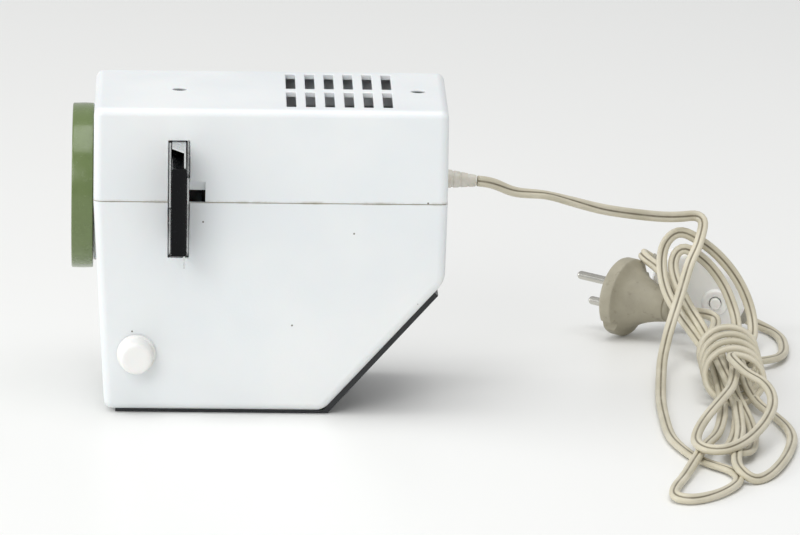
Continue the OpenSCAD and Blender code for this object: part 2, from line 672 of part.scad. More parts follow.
module mirror_bracket() color(steel) {
    back = lamp_x + mirror_r + 1;
    difference() {
        union() {
            block([back, -6, chassis_top], [back + 1.2, 6, axis_z + 6]);
            rod_x(back - 1, back + 0.1, 8);
            block([back - 9, -6, chassis_top], [back + 1, 6, chassis_top + 1.2]);
        }
        on_axis(lamp_x) rotate_extrude() polygon(concat([[0, 0]],
            [for (a = [0:11:55]) (mirror_r + 1) * [sin(a), cos(a)]]));
    }
}

module heat_shield() color(aluminium) {
    x0 = lamp_x - 17;
    x1 = chassis_x1;
    z1 = axis_z + 32;
    difference() {
        union() {
            for (s = [-1, 1]) translate([x0, s * shield_y - sheet / 2, chassis_top]) cube([x1 - x0, sheet, z1 - chassis_top]);
            block([x1 - sheet, -shield_y, chassis_top], [x1, shield_y, z1]);
        }
        for (s = [-1, 1], i = [0:4]) translate([x0 + 7 + 8 * i, s * shield_y - 2, chassis_top + 8]) cube([4, 4, 14]);
        block([x1 - 2, 8, chassis_top - 1], [x1 + 1, 24, chassis_top + 12]);
    }
}

module terminal_block() color("#E3DFD0") difference() {
    block([lamp_x - 2, 14, chassis_z - 12], [lamp_x + 14, 32, chassis_z]);
    for (y = [18.5, 27.5]) translate([lamp_x + 1, y, chassis_z - 7]) rotate([0, 90, 0]) cylinder(d = 3.2, h = 20);
}

module internal_leads() color("#8C6F4E") {
    for (y = [18.5, 27.5]) sweep(smooth([
        [rear_x - 8, relief_y + (y > 20 ? 1.3 : -1.3), relief_z], [rear_x - 12, relief_y + (y > 20 ? 2 : -1), relief_z - 5],
        [rear_x - 13, y - 6, 74], [rear_x - 19, y - 6, 58], [lamp_x + 24, y - 6, chassis_z - 1],
        [lamp_x + 18, y, chassis_z - 7], [lamp_x + 14, y, chassis_z - 7], [lamp_x + 10, y, chassis_z - 7],
        [lamp_x + 3, y, chassis_z - 7]], 3), 1.1);
}

// ---------- foot ----------

module foot_leg() color(steel) difference() {
    block([foot_x - leg_w / 2, leg_y, leg_z0], [foot_x + leg_w / 2, leg_y + leg_t, leg_top]);
    translate([foot_x, leg_y - 1, 0]) rotate([-90, 0, 0]) {
        translate([0, -knob_z, 0]) cylinder(r = slot_end, h = leg_t + 2);
        translate([0, -knob_z - foot_travel, 0]) cylinder(r = slot_end, h = leg_t + 2);
    }
    block([foot_x - slot_end, leg_y - 1, knob_z], [foot_x + slot_end, leg_y + leg_t + 1, knob_z + foot_travel]);
}

module foot_pad() color("#222222") block([foot_x - leg_w / 2, leg_y, 0.4], [foot_x + leg_w / 2, leg_y + leg_t, leg_z0]);

module foot_guide() color(steel) {
    y0 = leg_y + leg_t + slack;
    difference() {
        union() {
            block([foot_x - 8, y0, flat_t + wall], [foot_x + 8, y0 + 6, knob_z + 8]);
            block([foot_x - 8, y0, flat_t + wall], [foot_x + 8, y0 + 14, flat_t + wall + 2]);
        }
        translate([foot_x, y0 - 1, knob_z]) rotate([-90, 0, 0]) cylinder(d = clamp_d + 2 * slack, h = 20);
    }
}

module clamp_screw() color(steel) translate([foot_x, 0, knob_z]) rotate([-90, 0, 0]) {
    translate([0, 0, knob_y - 2]) cylinder(d = clamp_d, h = leg_y + leg_t + 8 - knob_y + 2);
    translate([0, 0, leg_y - 3 - slack]) cylinder(d = clamp_d + 5, h = 3);
}

module clamp_knob() color("#F1F1EE") {
    r = knob_d / 2;
    difference() {
        translate([foot_x, knob_y, knob_z]) rotate([90, 0, 0]) rotate_extrude() polygon([
            [0, 0], [r - 0.6, 0], [r, 0.6], [r, 2.2], [r - 0.5, 2.9], [r - 0.7, 3.5],
            [r - 1.5, knob_out - 2], [r - 2, knob_out - 0.9], [r - 3, knob_out - 0.5], [0, knob_out - 0.5]]);
        translate([foot_x, knob_y - 2, knob_z]) rotate([-90, 0, 0]) cylinder(d = clamp_d, h = 3);
    }
}

// ---------- mains lead ----------

module strain_relief() color(beige) translate([rear_x, relief_y, relief_z]) rotate([0, 90 + relief_dip, 0]) {
    translate([0, 0, 0.45]) cylinder(d1 = relief_d, d2 = 5.2, h = relief_l);
    translate([0, 0, -wall - 0.6]) cylinder(d = 5.6, h = wall + 1);
    translate([0, 0, -wall - 3.2]) cylinder(d = 8, h = 2);
}

module mains_lead() color(beige) sweep(smooth(lead_route, 2), lead_r);

module lead_hank() color(beige) linear_extrude(hank_h) {
    r = 8;
    fan_r = 22;
    translate([hank_x0, fan_y1 - 10]) square([hank_x1 - hank_x0, hank_y1 - r - fan_y1 + 10]);
    translate([hank_x0 + r, hank_y1 - r - 1]) square([hank_x1 - hank_x0 - 2 * r, r + 1]);
    for (x = [hank_x0 + r, hank_x1 - r]) translate([x, hank_y1 - r]) circle(r = r);
    translate([fan_x0, hank_y0 + fan_r]) square([hank_x1 + 4 - fan_x0, fan_y1 - hank_y0 - fan_r]);
    translate([fan_x0 + fan_r, hank_y0]) square([hank_x1 + 4 - fan_x0 - 2 * fan_r, fan_r + 1]);
    for (x = [fan_x0 + fan_r, hank_x1 + 4 - fan_r]) translate([x, hank_y0 + fan_r]) circle(r = fan_r);
}

module lead_tails() color(beige) for (route = [tail_in, tail_out, tail_plug]) sweep(smooth(route, 2), lead_r);

// Places a piece of the switch, drawn with its length along X and its face up
module in_switch() translate(switch_at) rotate([0, switch_tilt, 0]) rotate([90, 0, 0]) children();

module switch_outline(inset) {
    r = switch_w / 2 - inset;
    half = switch_l / 2 - switch_w / 2;
    translate([-half, -r]) square([2 * half, 2 * r]);
    for (x = [-half, half]) translate([x, 0]) circle(r = r);
}

module switch_base() color("#F3F3F0") in_switch() difference() {
    translate([0, 0, -switch_t / 2]) linear_extrude(switch_t / 2) switch_outline(0);
    translate([0, 0, -switch_t / 2 + 2]) linear_extrude(switch_t) switch_outline(2);
}

module switch_cover() color("#F3F3F0") in_switch() difference() {
    union() {
        linear_extrude(switch_t / 2 - 3) switch_outline(0);
        linear_extrude(switch_t / 2) switch_outline(4);
        translate([button_off, 0, 0]) cylinder(d = 13, h = switch_t / 2 + 2);
    }
    translate([0, 0, -1]) linear_extrude(switch_t / 2 - 3) switch_outline(2);
    translate([button_off, 0, -1]) cylinder(d = button_d + 2 * slack, h = switch_t);
    translate([button_off, 0, -1]) cylinder(d = button_d + 3, h = switch_t / 2 - 1);
}

module switch_button() color("#FAFAF8") in_switch() translate([button_off, 0, 0]) {
    translate([0, 0, switch_t / 2 - 5]) cylinder(d = button_d, h = button_top - switch_t / 2 + 5);
    translate([0, 0, switch_t / 2 - 3.4]) cylinder(d = button_d + 2, h = 1.2);
}

module switch_spring() color(steel) in_switch() translate([button_off, 0, -switch_t / 2 + 2]) difference() {
    cylinder(d = 5, h = switch_t - 7 - button_travel - 0.6);
    translate([0, 0, -1]) cylinder(d = 4, h = switch_t);
}

module switch_screws() color(steel) in_switch() translate([-10, 0, -switch_t / 2]) {
    translate([0, 0, 2]) cylinder(d = 3, h = switch_t / 2 + 2.9);
}

// Places a piece of the plug, drawn along Z with its pins pointing up
module in_plug() translate(plug_at) rotate([0, 0, plug_turn]) rotate([0, 90 - plug_tilt, 0])
    rotate([0, 0, plug_roll]) children();

module plug_body() color(plug_grey) in_plug() difference() {
    union() {
        translate([0, 0, -7]) cylinder(d = plug_d, h = 7);
        translate([0, 0, -11]) cylinder(d1 = 27, d2 = plug_d - 3, h = 4.01);
        translate([0, 0, -plug_l + 6]) cylinder(d1 = 15, d2 = 27, h = plug_l - 17 + 0.01);
        translate([0, 0, -plug_l]) cylinder(d1 = 8, d2 = 15, h = 6.01);
    }
    for (s = [-1, 1]) {
        translate([0, s * (plug_d / 2 + 0.5), -12]) cylinder(d = 6, h = 20);
        translate([s * pin_gap / 2, 0, -pin_root]) cylinder(d = pin_d - 1, h = pin_root + 1);
    }
}

module plug_pins() color("#C9CBCB") in_plug() for (s = [-1, 1]) translate([s * pin_gap / 2, 0, 0]) {
    translate([0, 0, -pin_root]) cylinder(d = pin_d - 1, h = pin_root + 0.5);
    cylinder(d = pin_d, h = pin_l - 1);
    translate([0, 0, pin_l - 1.01]) cylinder(d1 = pin_d, d2 = pin_d - 1.6, h = 1.01);
}

upper_housing();
lower_housing();
base_plate();
housing_screws();
base_screws();
focus_ring();
ring_clip();
lens_mount();
focus_key();
lens_barrel();
front_glass();
middle_glass();
rear_glass();
front_retainer();
rear_retainer();
gate_frame();
changer_frame();
changer_handle();
slide_springs();
chassis();
chassis_screws();
condenser_holder();
condenser_front();
condenser_rear();
heat_filter();
condenser_rings();
lamp_bulb();
lamp_cap();
lamp_filament();
lamp_socket();
mirror();
mirror_bracket();
heat_shield();
terminal_block();
internal_leads();
foot_leg();
foot_pad();
foot_guide();
clamp_screw();
clamp_knob();
strain_relief();
mains_lead();
lead_hank();
lead_tails();
switch_base();
switch_cover();
switch_button();
switch_spring();
switch_screws();
plug_body();
plug_pins();
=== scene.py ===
import math

import bmesh
import bpy
import numpy as np
from mathutils import Matrix, Vector


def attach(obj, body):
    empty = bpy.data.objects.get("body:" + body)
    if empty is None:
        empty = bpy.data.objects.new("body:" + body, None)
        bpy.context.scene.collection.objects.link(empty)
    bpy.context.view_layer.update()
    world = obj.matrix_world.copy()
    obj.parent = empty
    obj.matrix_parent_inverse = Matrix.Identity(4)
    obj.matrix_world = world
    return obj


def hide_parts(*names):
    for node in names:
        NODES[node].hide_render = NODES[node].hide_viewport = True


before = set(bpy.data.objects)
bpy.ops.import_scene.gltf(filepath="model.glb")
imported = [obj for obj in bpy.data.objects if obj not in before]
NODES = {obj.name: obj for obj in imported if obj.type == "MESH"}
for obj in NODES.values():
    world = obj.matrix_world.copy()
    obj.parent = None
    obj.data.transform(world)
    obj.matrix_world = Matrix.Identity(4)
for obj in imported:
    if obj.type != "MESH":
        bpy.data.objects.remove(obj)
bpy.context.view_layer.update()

MM = 0.001


def place(x, y, z):
    """A point given in millimetres."""
    return Vector((x, y, z)) * MM


# ---------- Camera ----------
# A long lens, four metres in front of the side that the changer comes out of and
# turned down by twelve degrees, so that upright edges stay nearly parallel.

EYE = place(-38.8, -4001.4, 931.8)
TURN, DIP, LEAN = (math.radians(a) for a in (1.413, 12.302, 0.877))
ahead = Vector((math.sin(TURN) * math.cos(DIP), math.cos(TURN) * math.cos(DIP), -math.sin(DIP)))
level = Vector((math.cos(TURN), -math.sin(TURN), 0))
over = level.cross(ahead)
right = math.cos(LEAN) * level + math.sin(LEAN) * over
up = math.cos(LEAN) * over - math.sin(LEAN) * level

lens = bpy.data.cameras.new("camera")
lens.sensor_width = 36
lens.lens = 403.3
lens.clip_end = 30
camera = bpy.data.objects.new("camera", lens)
bpy.context.scene.collection.objects.link(camera)
camera.matrix_world = Matrix.Translation(EYE) @ Matrix((right, up, -ahead)).transposed().to_4x4()
bpy.context.scene.camera = camera


# ---------- Mains lead ----------
# Flat two-core flex with a groove down the middle, about 2.4 m of it: out of the
# relief, over the bundle, round the tied hank, through the switch and to the plug.

LEAD_WIDTH = 5.0
LEAD_THICK = 2.8
STEP = 2.2            # between rings of the mesh
RELIEF_LENGTH = 14.5
RELIEF_DIP = math.radians(4)
PARTING_Z = 98.5
REAR_X = 80


def past_relief(s):
    return (REAR_X + s * math.cos(RELIEF_DIP), 11, PARTING_Z - s * math.sin(RELIEF_DIP))


SWITCH_AT = (205, 139, 19.8)
SWITCH_TILT = math.radians(32)
SWITCH_LENGTH, SWITCH_WIDTH, SWITCH_THICK = 46, 32, 20


def past_switch(s):
    return (SWITCH_AT[0] + s * math.cos(SWITCH_TILT), SWITCH_AT[1],
            SWITCH_AT[2] - s * math.sin(SWITCH_TILT))


PLUG_AT = (166.1, 126.5, 19.2)
PLUG_TURN, PLUG_RISE, PLUG_ROLL = math.radians(146), math.radians(4), math.radians(-40)
PLUG_LENGTH = 36


def behind_plug(s):
    back = PLUG_LENGTH + s
    return (PLUG_AT[0] - back * math.cos(PLUG_RISE) * math.cos(PLUG_TURN),
            PLUG_AT[1] - back * math.cos(PLUG_RISE) * math.sin(PLUG_TURN),
            PLUG_AT[2] - back * math.sin(PLUG_RISE))


# Each point has the way that the flat of the lead faces there.
FRONT, TOP = (0, -1, 0.2), (0, -0.25, 1)

from_relief = [
    (past_relief(RELIEF_LENGTH + 0.5), FRONT), (past_relief(RELIEF_LENGTH + 3.5), FRONT),
    ((104, 18, 94.4), FRONT),
    ((112.9, 26, 89.3), (0, -0.8, 0.6)), ((127.2, 38, 85.6), (0, -0.6, 0.8)),
    ((139.3, 50, 80.3), (0, -0.8, 0.6)),
    ((154.9, 65, 73.5), FRONT), ((171.1, 82, 67.7), FRONT), ((186, 98, 63.1), FRONT),
    ((196, 108, 61.3), FRONT),
    ((201.8, 112, 61.2), FRONT), ((204.6, 109.5, 59.6), FRONT), ((204.3, 105, 56.6), (-0.3, -0.8, 0.5)),
    ((201.3, 97, 48.6), (-0.3, -0.8, 0.5)), ((197.8, 91, 43.1), (-0.2, -0.9, 0.4)),
    ((192.8, 79, 29.9), (-0.1, -0.9, 0.4)),
    ((187.1, 62, 17), (-0.1, -0.8, 0.6)), ((184.8, 51, 11.8), (-0.1, -0.6, 0.8)), ((182.8, 37, 7.9), TOP),
    ((181.4, 18, 5.1), TOP), ((180.2, -3, 3.4), TOP), ((179.4, -23, 2.4), TOP), ((179.4, -51, 1.9), TOP),
    ((180.1, -82, 1.9), TOP), ((182.6, -103, 1.9), TOP)]

near_loop = [
    ((189, -128, 1.9), TOP), ((196, -142, 2), TOP), ((203, -152, 2), TOP), ((206.5, -164, 2), TOP),
    ((204.5, -179, 2), TOP), ((197, -195, 2), (0, -0.6, 0.8)), ((188, -206, 2.2), (0, -0.8, 0.6)),
    ((180.5, -209.5, 2.6), (0, -0.8, 0.6)), ((176.5, -203, 2.8), (-0.4, -0.4, 0.8)),
    ((178, -186, 2.4), TOP), ((183, -165, 2.4), TOP), ((188.5, -143, 4.2), TOP),
    ((194, -124, 6.2), TOP), ((200.5, -100, 6), TOP), ((204.5, -70, 6.2), TOP), ((206.5, -38, 6.4), TOP)]

run_back = [((207, -8, 6.4), TOP), ((207, 22, 6.4), TOP), ((206, 46, 7), TOP),
    ((203, 62, 9), (-0.2, -0.8, 0.6))]

rear_loop = [
    ((198, 79, 13.5), FRONT), ((192.5, 89, 19.5), FRONT), ((187.6, 97, 27), FRONT), ((185.2, 103, 37), FRONT),
    ((186.5, 107, 48), FRONT), ((193.5, 109, 54), FRONT), ((203, 109.5, 49.5), FRONT),
    ((212, 110, 42.5), FRONT), ((221, 110, 31.5), FRONT), ((227, 108, 19), FRONT), ((228.6, 99, 8.4), FRONT),
    ((225, 82, 5), TOP), ((219.5, 64, 5.4), TOP)]

side_run = [((219.5, 42, 6.4), TOP), ((219.5, 16, 6.4), TOP), ((220, -12, 6.2), TOP)]

far_side_loop = [
    ((223.5, -32, 4), TOP), ((229.5, -47, 2.2), TOP), ((234, -69, 2), TOP), ((235, -90, 2), TOP),
    ((232.5, -112, 2), TOP), ((227.5, -137, 2), TOP), ((220.5, -160, 2), (0, -0.7, 0.7)),
    ((213, -171, 2.2), (0, -0.8, 0.6)), ((207.5, -166, 5.4), TOP), ((206.5, -150, 5.6), TOP),
    ((208.5, -124, 6), TOP), ((211.5, -92, 6), TOP), ((212.5, -58, 6.4), TOP)]

second_back = [((213.3, -22, 6.4), TOP), ((213.3, 14, 6.4), TOP), ((210.5, 44, 8), TOP),
    ((206.5, 63, 11), FRONT)]

small_rear_loop = [
    ((202.5, 79, 16), FRONT), ((197.5, 92, 22), FRONT), ((192.6, 100, 31), FRONT), ((190.5, 105, 40), FRONT),
    ((194.5, 106.6, 46.8), FRONT), ((201.5, 106.6, 43.6), FRONT), ((208.5, 106.6, 37.6), FRONT),
    ((215.5, 106, 27.6), FRONT), ((220, 101, 16), FRONT), ((220, 88, 10.6), (0, -0.8, 0.6)),
    ((216.5, 68, 11), TOP), ((215, 48, 12.6), TOP), ((214.5, 20, 13.6), TOP), ((213.5, -8, 14.4), TOP)]

middle_loop = [
    ((211.5, -34, 15.6), TOP), ((209, -50, 15), (-0.2, -0.6, 0.8)), ((203.5, -66, 13), (-0.2, -0.7, 0.7)),
    ((197, -84, 10.4), (-0.2, -0.7, 0.7)), ((192, -104, 8.6), (-0.2, -0.7, 0.7)),
    ((190, -124, 8), (-0.2, -0.7, 0.7)), ((193.5, -139, 8.4), (0, -0.7, 0.7)),
    ((201.5, -142, 8.8), (0, -0.8, 0.6)), ((211.5, -128, 9.4), (0, -0.8, 0.6)),
    ((220.5, -104, 11), (0, -0.8, 0.6)), ((226.3, -80, 13.6), (0, -0.7, 0.7)),
    ((227, -61, 16), (0, -0.6, 0.8)), ((223.5, -46, 18), (0, -0.5, 0.9)),
    ((217.5, -36, 19.4), (0, -0.4, 0.9))]


def tie_turns(centre, half_width, half_height, y_from, y_to, turns, lean):
    """The lead wound round the bundle, each turn leaning back over the last."""
    per_turn = 14
    count = int(turns * per_turn)
    out = []
    for i in range(count + 1):
        a = math.radians(100) - 2 * math.pi * i / per_turn
        away = Vector((math.cos(a), 0, math.sin(a)))
        y = y_from + (y_to - y_from) * i / count + lean * math.sin(a)
        out.append(((centre[0] + half_width * away.x, y, centre[1] + half_height * away.z), tuple(away)))
    return out


tie = tie_turns((213, 12.6), 13.6, 10.8, -24, 40, 4.4, 7)

to_switch = [
    ((222, 52, 4.5), TOP), ((229, 55, 4.2), TOP), ((234, 59, 4), TOP), ((239, 69, 3), TOP),
    ((242, 83, 2.2), TOP), ((243, 99, 1.9), TOP), ((242.5, 114, 1.9), TOP), ((240, 126, 1.9), TOP),
    ((236.5, 133.5, 2.3), (0, -0.8, 0.6)), (past_switch(SWITCH_LENGTH / 2 + 5), FRONT),
    (past_switch(SWITCH_LENGTH / 2 - 1), FRONT)]

from_switch = [
    (past_switch(1 - SWITCH_LENGTH / 2), FRONT), (past_switch(-SWITCH_LENGTH / 2 - 4), FRONT),
    ((178.4, 137.5, 37), FRONT), ((177.2, 132.5, 38), (-0.5, -0.8, 0.3)),
    ((179.5, 127, 36.4), (-0.5, -0.6, 0.6)), ((183.5, 120.5, 34.6), (-0.4, -0.6, 0.7)),
    ((187.5, 112, 31.4), (-0.3, -0.7, 0.7)), ((191.5, 103, 24.4), (-0.2, -0.8, 0.6)),
    ((196, 94, 15.5), (0, -0.8, 0.6)), ((200, 88, 12), (0, -0.6, 0.8)), ((204, 80, 9.6), TOP),
    ((208, 66, 9), TOP), ((210, 44, 10), TOP), ((209.5, 14, 10), TOP), ((210.5, -14, 9.6), TOP)]

short_front_loop = [
    ((212.5, -44, 6), TOP), ((211, -74, 3.6), TOP), ((207, -104, 3), TOP), ((203.5, -126, 5.6), TOP),
    ((208, -134, 5.8), TOP), ((214, -124, 4), TOP), ((217, -98, 3), TOP), ((217.5, -64, 3), TOP),
    ((212.5, -28, 8.6), TOP), ((208, 4, 13.4), TOP), ((207, 34, 13.4), TOP)]

to_plug = [
    ((206, 50, 14.4), TOP), ((207.5, 62, 16), FRONT), ((209.3, 72, 17.3), FRONT), ((209.8, 82, 17.8), FRONT),
    ((208.4, 91, 17.4), FRONT), ((205.6, 98.2, 16.9), FRONT), (behind_plug(7), FRONT),
    (behind_plug(-3), FRONT)]

OUTLINE = []
for side in (1, -1):
    for k in range(9):
        a = math.radians(-132 + 33 * k)
        lobe = LEAD_THICK / 2
        OUTLINE.append((side * (LEAD_WIDTH / 2 - lobe + lobe * math.cos(a)), side * lobe * math.sin(a)))


def smooth_run(stops):
    """Even steps along a smooth curve through the points, with the facing at each."""
    p = np.array([s[0] for s in stops], float)
    n = np.array([Vector(s[1]).normalized() for s in stops], float)
    p = np.vstack([2 * p[0] - p[1], p, 2 * p[-1] - p[-2]])
    n = np.vstack([n[0], n, n[-1]])
    fine, face = [], []
    for i in range(1, len(p) - 2):
        a, b, c, d = p[i - 1:i + 3]
        for t in np.arange(0, 1, 1 / 24):
            fine.append(0.5 * (2 * b + (c - a) * t + (2 * a - 5 * b + 4 * c - d) * t ** 2
                               + (3 * b - a - 3 * c + d) * t ** 3))
            face.append(n[i] * (1 - t) + n[i + 1] * t)
    fine, face = np.array(fine + [p[-2]]), np.array(face + [n[-2]])
    along = np.concatenate([[0], np.cumsum(np.linalg.norm(np.diff(fine, axis=0), axis=1))])
    at = np.linspace(0, along[-1], max(2, int(along[-1] / STEP)))
    return (np.array([np.interp(at, along, fine[:, k]) for k in range(3)]).T,
            np.array([np.interp(at, along, face[:, k]) for k in range(3)]).T)


def eased(rows, passes):
    for _ in range(passes):
        rows[1:-1] = (rows[:-2] + 2 * rows[1:-1] + rows[2:]) / 4
    return rows


def flat_lead(name, stops):
    """Sweeps the two-core outline along the route; returns the piece and its centreline."""
    centre, facing = smooth_run(stops)
    centre = eased(centre, 3)
    ahead_at = np.gradient(centre, axis=0)
    ahead_at /= np.linalg.norm(ahead_at, axis=1)[:, None]
    across = np.cross(ahead_at, facing)
    for i in range(1, len(across)):
        if np.dot(across[i], across[i - 1]) < 0:
            across[i] *= -1
    across = eased(across / np.linalg.norm(across, axis=1)[:, None], 10)
    across -= ahead_at * np.sum(across * ahead_at, axis=1)[:, None]
    across /= np.linalg.norm(across, axis=1)[:, None]
    out = np.cross(across, ahead_at)
    ring = np.array(OUTLINE)
    points = centre[:, None, :] + ring[None, :, :1] * across[:, None, :] + ring[None, :, 1:] * out[:, None, :]
    count, sides = points.shape[:2]
    faces = []
    for i in range(count - 1):
        for k in range(sides):
            a, b = i * sides + k, i * sides + (k + 1) % sides
            faces.append((a, b, b + sides, a + sides))
    faces.append(tuple(range(sides))[::-1])
    faces.append(tuple(range((count - 1) * sides, count * sides)))
    mesh = bpy.data.meshes.new(name)
    mesh.from_pydata((points.reshape(-1, 3) * MM).tolist(), [], faces)
    mesh.update()
    # how deep in the groove each point lies, for the painted shade there
    groove = mesh.attributes.new("groove", "FLOAT", "POINT")
    depth = np.clip(1 - np.abs(ring[:, 0]) / (0.26 * LEAD_WIDTH), 0, 1)
    groove.data.foreach_set("value", np.tile(depth, count).astype(np.float32))
    piece = bpy.data.objects.new(name, mesh)
    bpy.context.scene.collection.objects.link(piece)
    solid = bmesh.new()
    solid.from_mesh(mesh)
    bmesh.ops.recalc_face_normals(solid, faces=solid.faces)
    solid.to_mesh(mesh)
    solid.free()
    for polygon in mesh.polygons:
        polygon.use_smooth = True
    length = float(np.sum(np.linalg.norm(np.diff(centre, axis=0), axis=1))) * MM
    return piece, (centre * MM).tolist(), length


feed_lead, feed_path, feed_length = flat_lead("mains_flex", (
    from_relief + near_loop + run_back + rear_loop + side_run + far_side_loop + second_back
    + small_rear_loop + middle_loop + tie + to_switch))
plug_lead, plug_path, plug_lead_length = flat_lead("plug_flex", from_switch + short_front_loop + to_plug)
print("lead lengths", round(feed_length, 3), round(plug_lead_length, 3))


# ---------- Finish of the lead ----------
# Soft PVC, extruded and grey-beige with age: a satin skin with faint long waves,
# painted shade darkening the groove, and a warmer tone where hands never wiped it.

def hex_colour(code):
    """The linear colour of an sRGB hex value."""
    parts = [int(code[i:i + 2], 16) / 255 for i in (1, 3, 5)]
    return [c / 12.92 if c <= 0.04045 else ((c + 0.055) / 1.055) ** 2.4 for c in parts] + [1]


def add(tree, kind, settings=None, inputs=None):
    """Adds a node with its settings; an input is a value or another node's output."""
    node = tree.nodes.new("ShaderNode" + kind)
    for key, value in (settings or {}).items():
        setattr(node, key, value)
    for key, value in (inputs or {}).items():
        if isinstance(value, bpy.types.NodeSocket):
            tree.links.new(value, node.inputs[key])
        else:
            node.inputs[key].default_value = value
    return node


def new_finish(name, roughness, metallic=0.0):
    """A material with its shader ready: returns material, tree, shader and object place."""
    made = bpy.data.materials.new(name)
    made.use_nodes = True
    tree = made.node_tree
    shader = tree.nodes["Principled BSDF"]
    shader.inputs["Roughness"].default_value = roughness
    shader.inputs["Metallic"].default_value = metallic
    where = add(tree, "TexCoord").outputs["Object"]
    return made, tree, shader, where


def blended(tree, factor, low, high, mode="MIX"):
    node = add(tree, "Mix", {"data_type": "RGBA", "blend_type": mode})
    for socket, value in ((0, factor), (6, low), (7, high)):
        if isinstance(value, bpy.types.NodeSocket):
            tree.links.new(value, node.inputs[socket])
        else:
            node.inputs[socket].default_value = value
    return node.outputs[2]


def painted(tree, shader, factor, low, high):
    """Links a blend of two colours to the shader's base colour."""
    tree.links.new(blended(tree, factor, low, high), shader.inputs["Base Color"])


def bumped(tree, shader, height, strength, distance):
    """Links a bump of the height to the shader's normal."""
    bump = add(tree, "Bump", {}, {"Strength": strength, "Distance": distance, "Height": height})
    tree.links.new(bump.outputs["Normal"], shader.inputs["Normal"])


def soft_band(tree, value, low, high, out_low=0.0, out_high=1.0):
    """A smooth step of a value from low to high."""
    return add(tree, "MapRange", {"interpolation_type": "SMOOTHSTEP"}, {
        "Value": value, "From Min": low, "From Max": high,
        "To Min": out_low, "To Max": out_high}).outputs["Result"]


flex_pvc, tree, shader, where = new_finish("flex_pvc_extruded", 0.42)
groove = add(tree, "Attribute", {"attribute_name": "groove"}).outputs["Fac"]
age = add(tree, "TexNoise", {}, {"Vector": where, "Scale": 38.0, "Detail": 4.0, "Roughness": 0.6})
sheath = blended(tree, soft_band(tree, age.outputs["Fac"], 0.35, 0.7), hex_colour("#C6BFA9"),
    hex_colour("#D6CFBB"))
mottle = add(tree, "TexNoise", {}, {"Vector": where, "Scale": 160.0, "Detail": 3.0})
# painted shade: the groove between the two cores is darkened by its depth, broken up by noise
groove_shade = add(tree, "Math", {"operation": "MULTIPLY"}, {
    0: soft_band(tree, groove, 0.45, 0.95), 1: soft_band(tree, mottle.outputs["Fac"], 0.2, 0.6, 0.75, 1.0)})
sheath = blended(tree, groove_shade.outputs[0], sheath, hex_colour("#6A614C"))
tree.links.new(sheath, shader.inputs["Base Color"])
shader.inputs["Subsurface Weight"].default_value = 0.08
shader.inputs["Subsurface Radius"].default_value = (0.9, 0.7, 0.45)
shader.inputs["Subsurface Scale"].default_value = 0.0015
waves = add(tree, "TexNoise", {}, {"Vector": where, "Scale": 420.0, "Detail": 2.0})
bumped(tree, shader, waves.outputs["Fac"], 0.12, 0.0004)
for lead in (feed_lead, plug_lead):
    lead.data.materials.append(flex_pvc)
    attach(lead, "projector")
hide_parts("mains_lead", "lead_hank")
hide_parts("lead_tails")


# ---------- Housing shells ----------
# Two injection-moulded polystyrene shells that meet at a parting line over a tongue.
# The lower one leans in by a few degrees so that it leaves the mould, and is cut
# back behind; both have the round edges and the openings that the mould gave them.

BODY_HALF, BODY_HALF_W, BODY_TOP = 80, 47, 141
WALL = 2.4
SHADOW_GAP = 0.4
BASE_T = 1.5
SLOPE_T = 2.5
CUT_X, CUT_TOP = 27, (76.4, 55)
CORNER = 4
SLOT_X, SLOT_W, SLOT_LOW, SLOT_HIGH = -41.5, 9.6, 72.5, 126.5
AXIS_Z = 96


def only(*pieces):
    """Selects just these objects, the first of them active."""
    bpy.ops.object.select_all(action="DESELECT")
    for piece in pieces:
        piece.select_set(True)
    bpy.context.view_layer.objects.active = pieces[0]


def cube(name, low, high):
    """A cube primitive between two corners, with its place in its mesh."""
    bpy.ops.object.select_all(action="DESELECT")
    low, high = place(*low), place(*high)
    bpy.ops.mesh.primitive_cube_add(size=1, location=(low + high) / 2, scale=high - low)
    made = bpy.context.object
    made.name = made.data.name = name
    bpy.ops.object.transform_apply()
    return made


def pick(kind, wanted):
    """Selects the active object's edges or faces, in edit mode, that wanted says."""
    bpy.ops.mesh.select_mode(type=kind)
    bpy.ops.mesh.select_all(action="DESELECT")
    form = bmesh.from_edit_mesh(bpy.context.object.data)
    for item in (form.edges if kind == "EDGE" else form.faces):
        if kind == "EDGE":
            a, b = (v.co / MM for v in item.verts)
            chosen = wanted(a, b)
        else:
            chosen = wanted(item.calc_center_median() / MM, item.normal)
        item.select_set(bool(chosen))
    bmesh.update_edit_mesh(bpy.context.object.data)


def round_edges(wanted, radius, segments=6):
    pick("EDGE", wanted)
    bpy.ops.mesh.bevel(offset=radius * MM, segments=segments, profile=0.5, affect="EDGES")


def upright(a, b):
    return abs(a.z - b.z) > 5 * max(abs(a.x - b.x), abs(a.y - b.y))


def apply_modifier(piece, kind, **settings):
    only(piece)
    step = piece.modifiers.new(kind, kind)
    for key, value in settings.items():
        setattr(step, key, value)
    bpy.ops.object.modifier_apply(modifier=step.name)


def cut(piece, cutter, operation="DIFFERENCE"):
    apply_modifier(piece, "BOOLEAN", object=cutter, operation=operation, solver="EXACT")
    bpy.data.objects.remove(cutter)


def hollowed(piece, wall):
    """Gives an open shell its wall, inwards."""
    apply_modifier(piece, "SOLIDIFY", thickness=wall * MM, offset=-1, use_even_offset=True,
        use_quality_normals=True)


def finish_piece(piece, finish, body, slot, *nodes, angle=32):
    """Smooths a finished mesh and gives it its material and body. The slot is not used."""
    only(piece)
    bpy.ops.object.shade_smooth_by_angle(angle=math.radians(angle))
    apply_modifier(piece, "WEIGHTED_NORMAL", keep_sharp=True, weight=100)
    piece.data.materials.clear()
    piece.data.materials.append(finish)
    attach(piece, body)
    if nodes:
        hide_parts(*nodes)


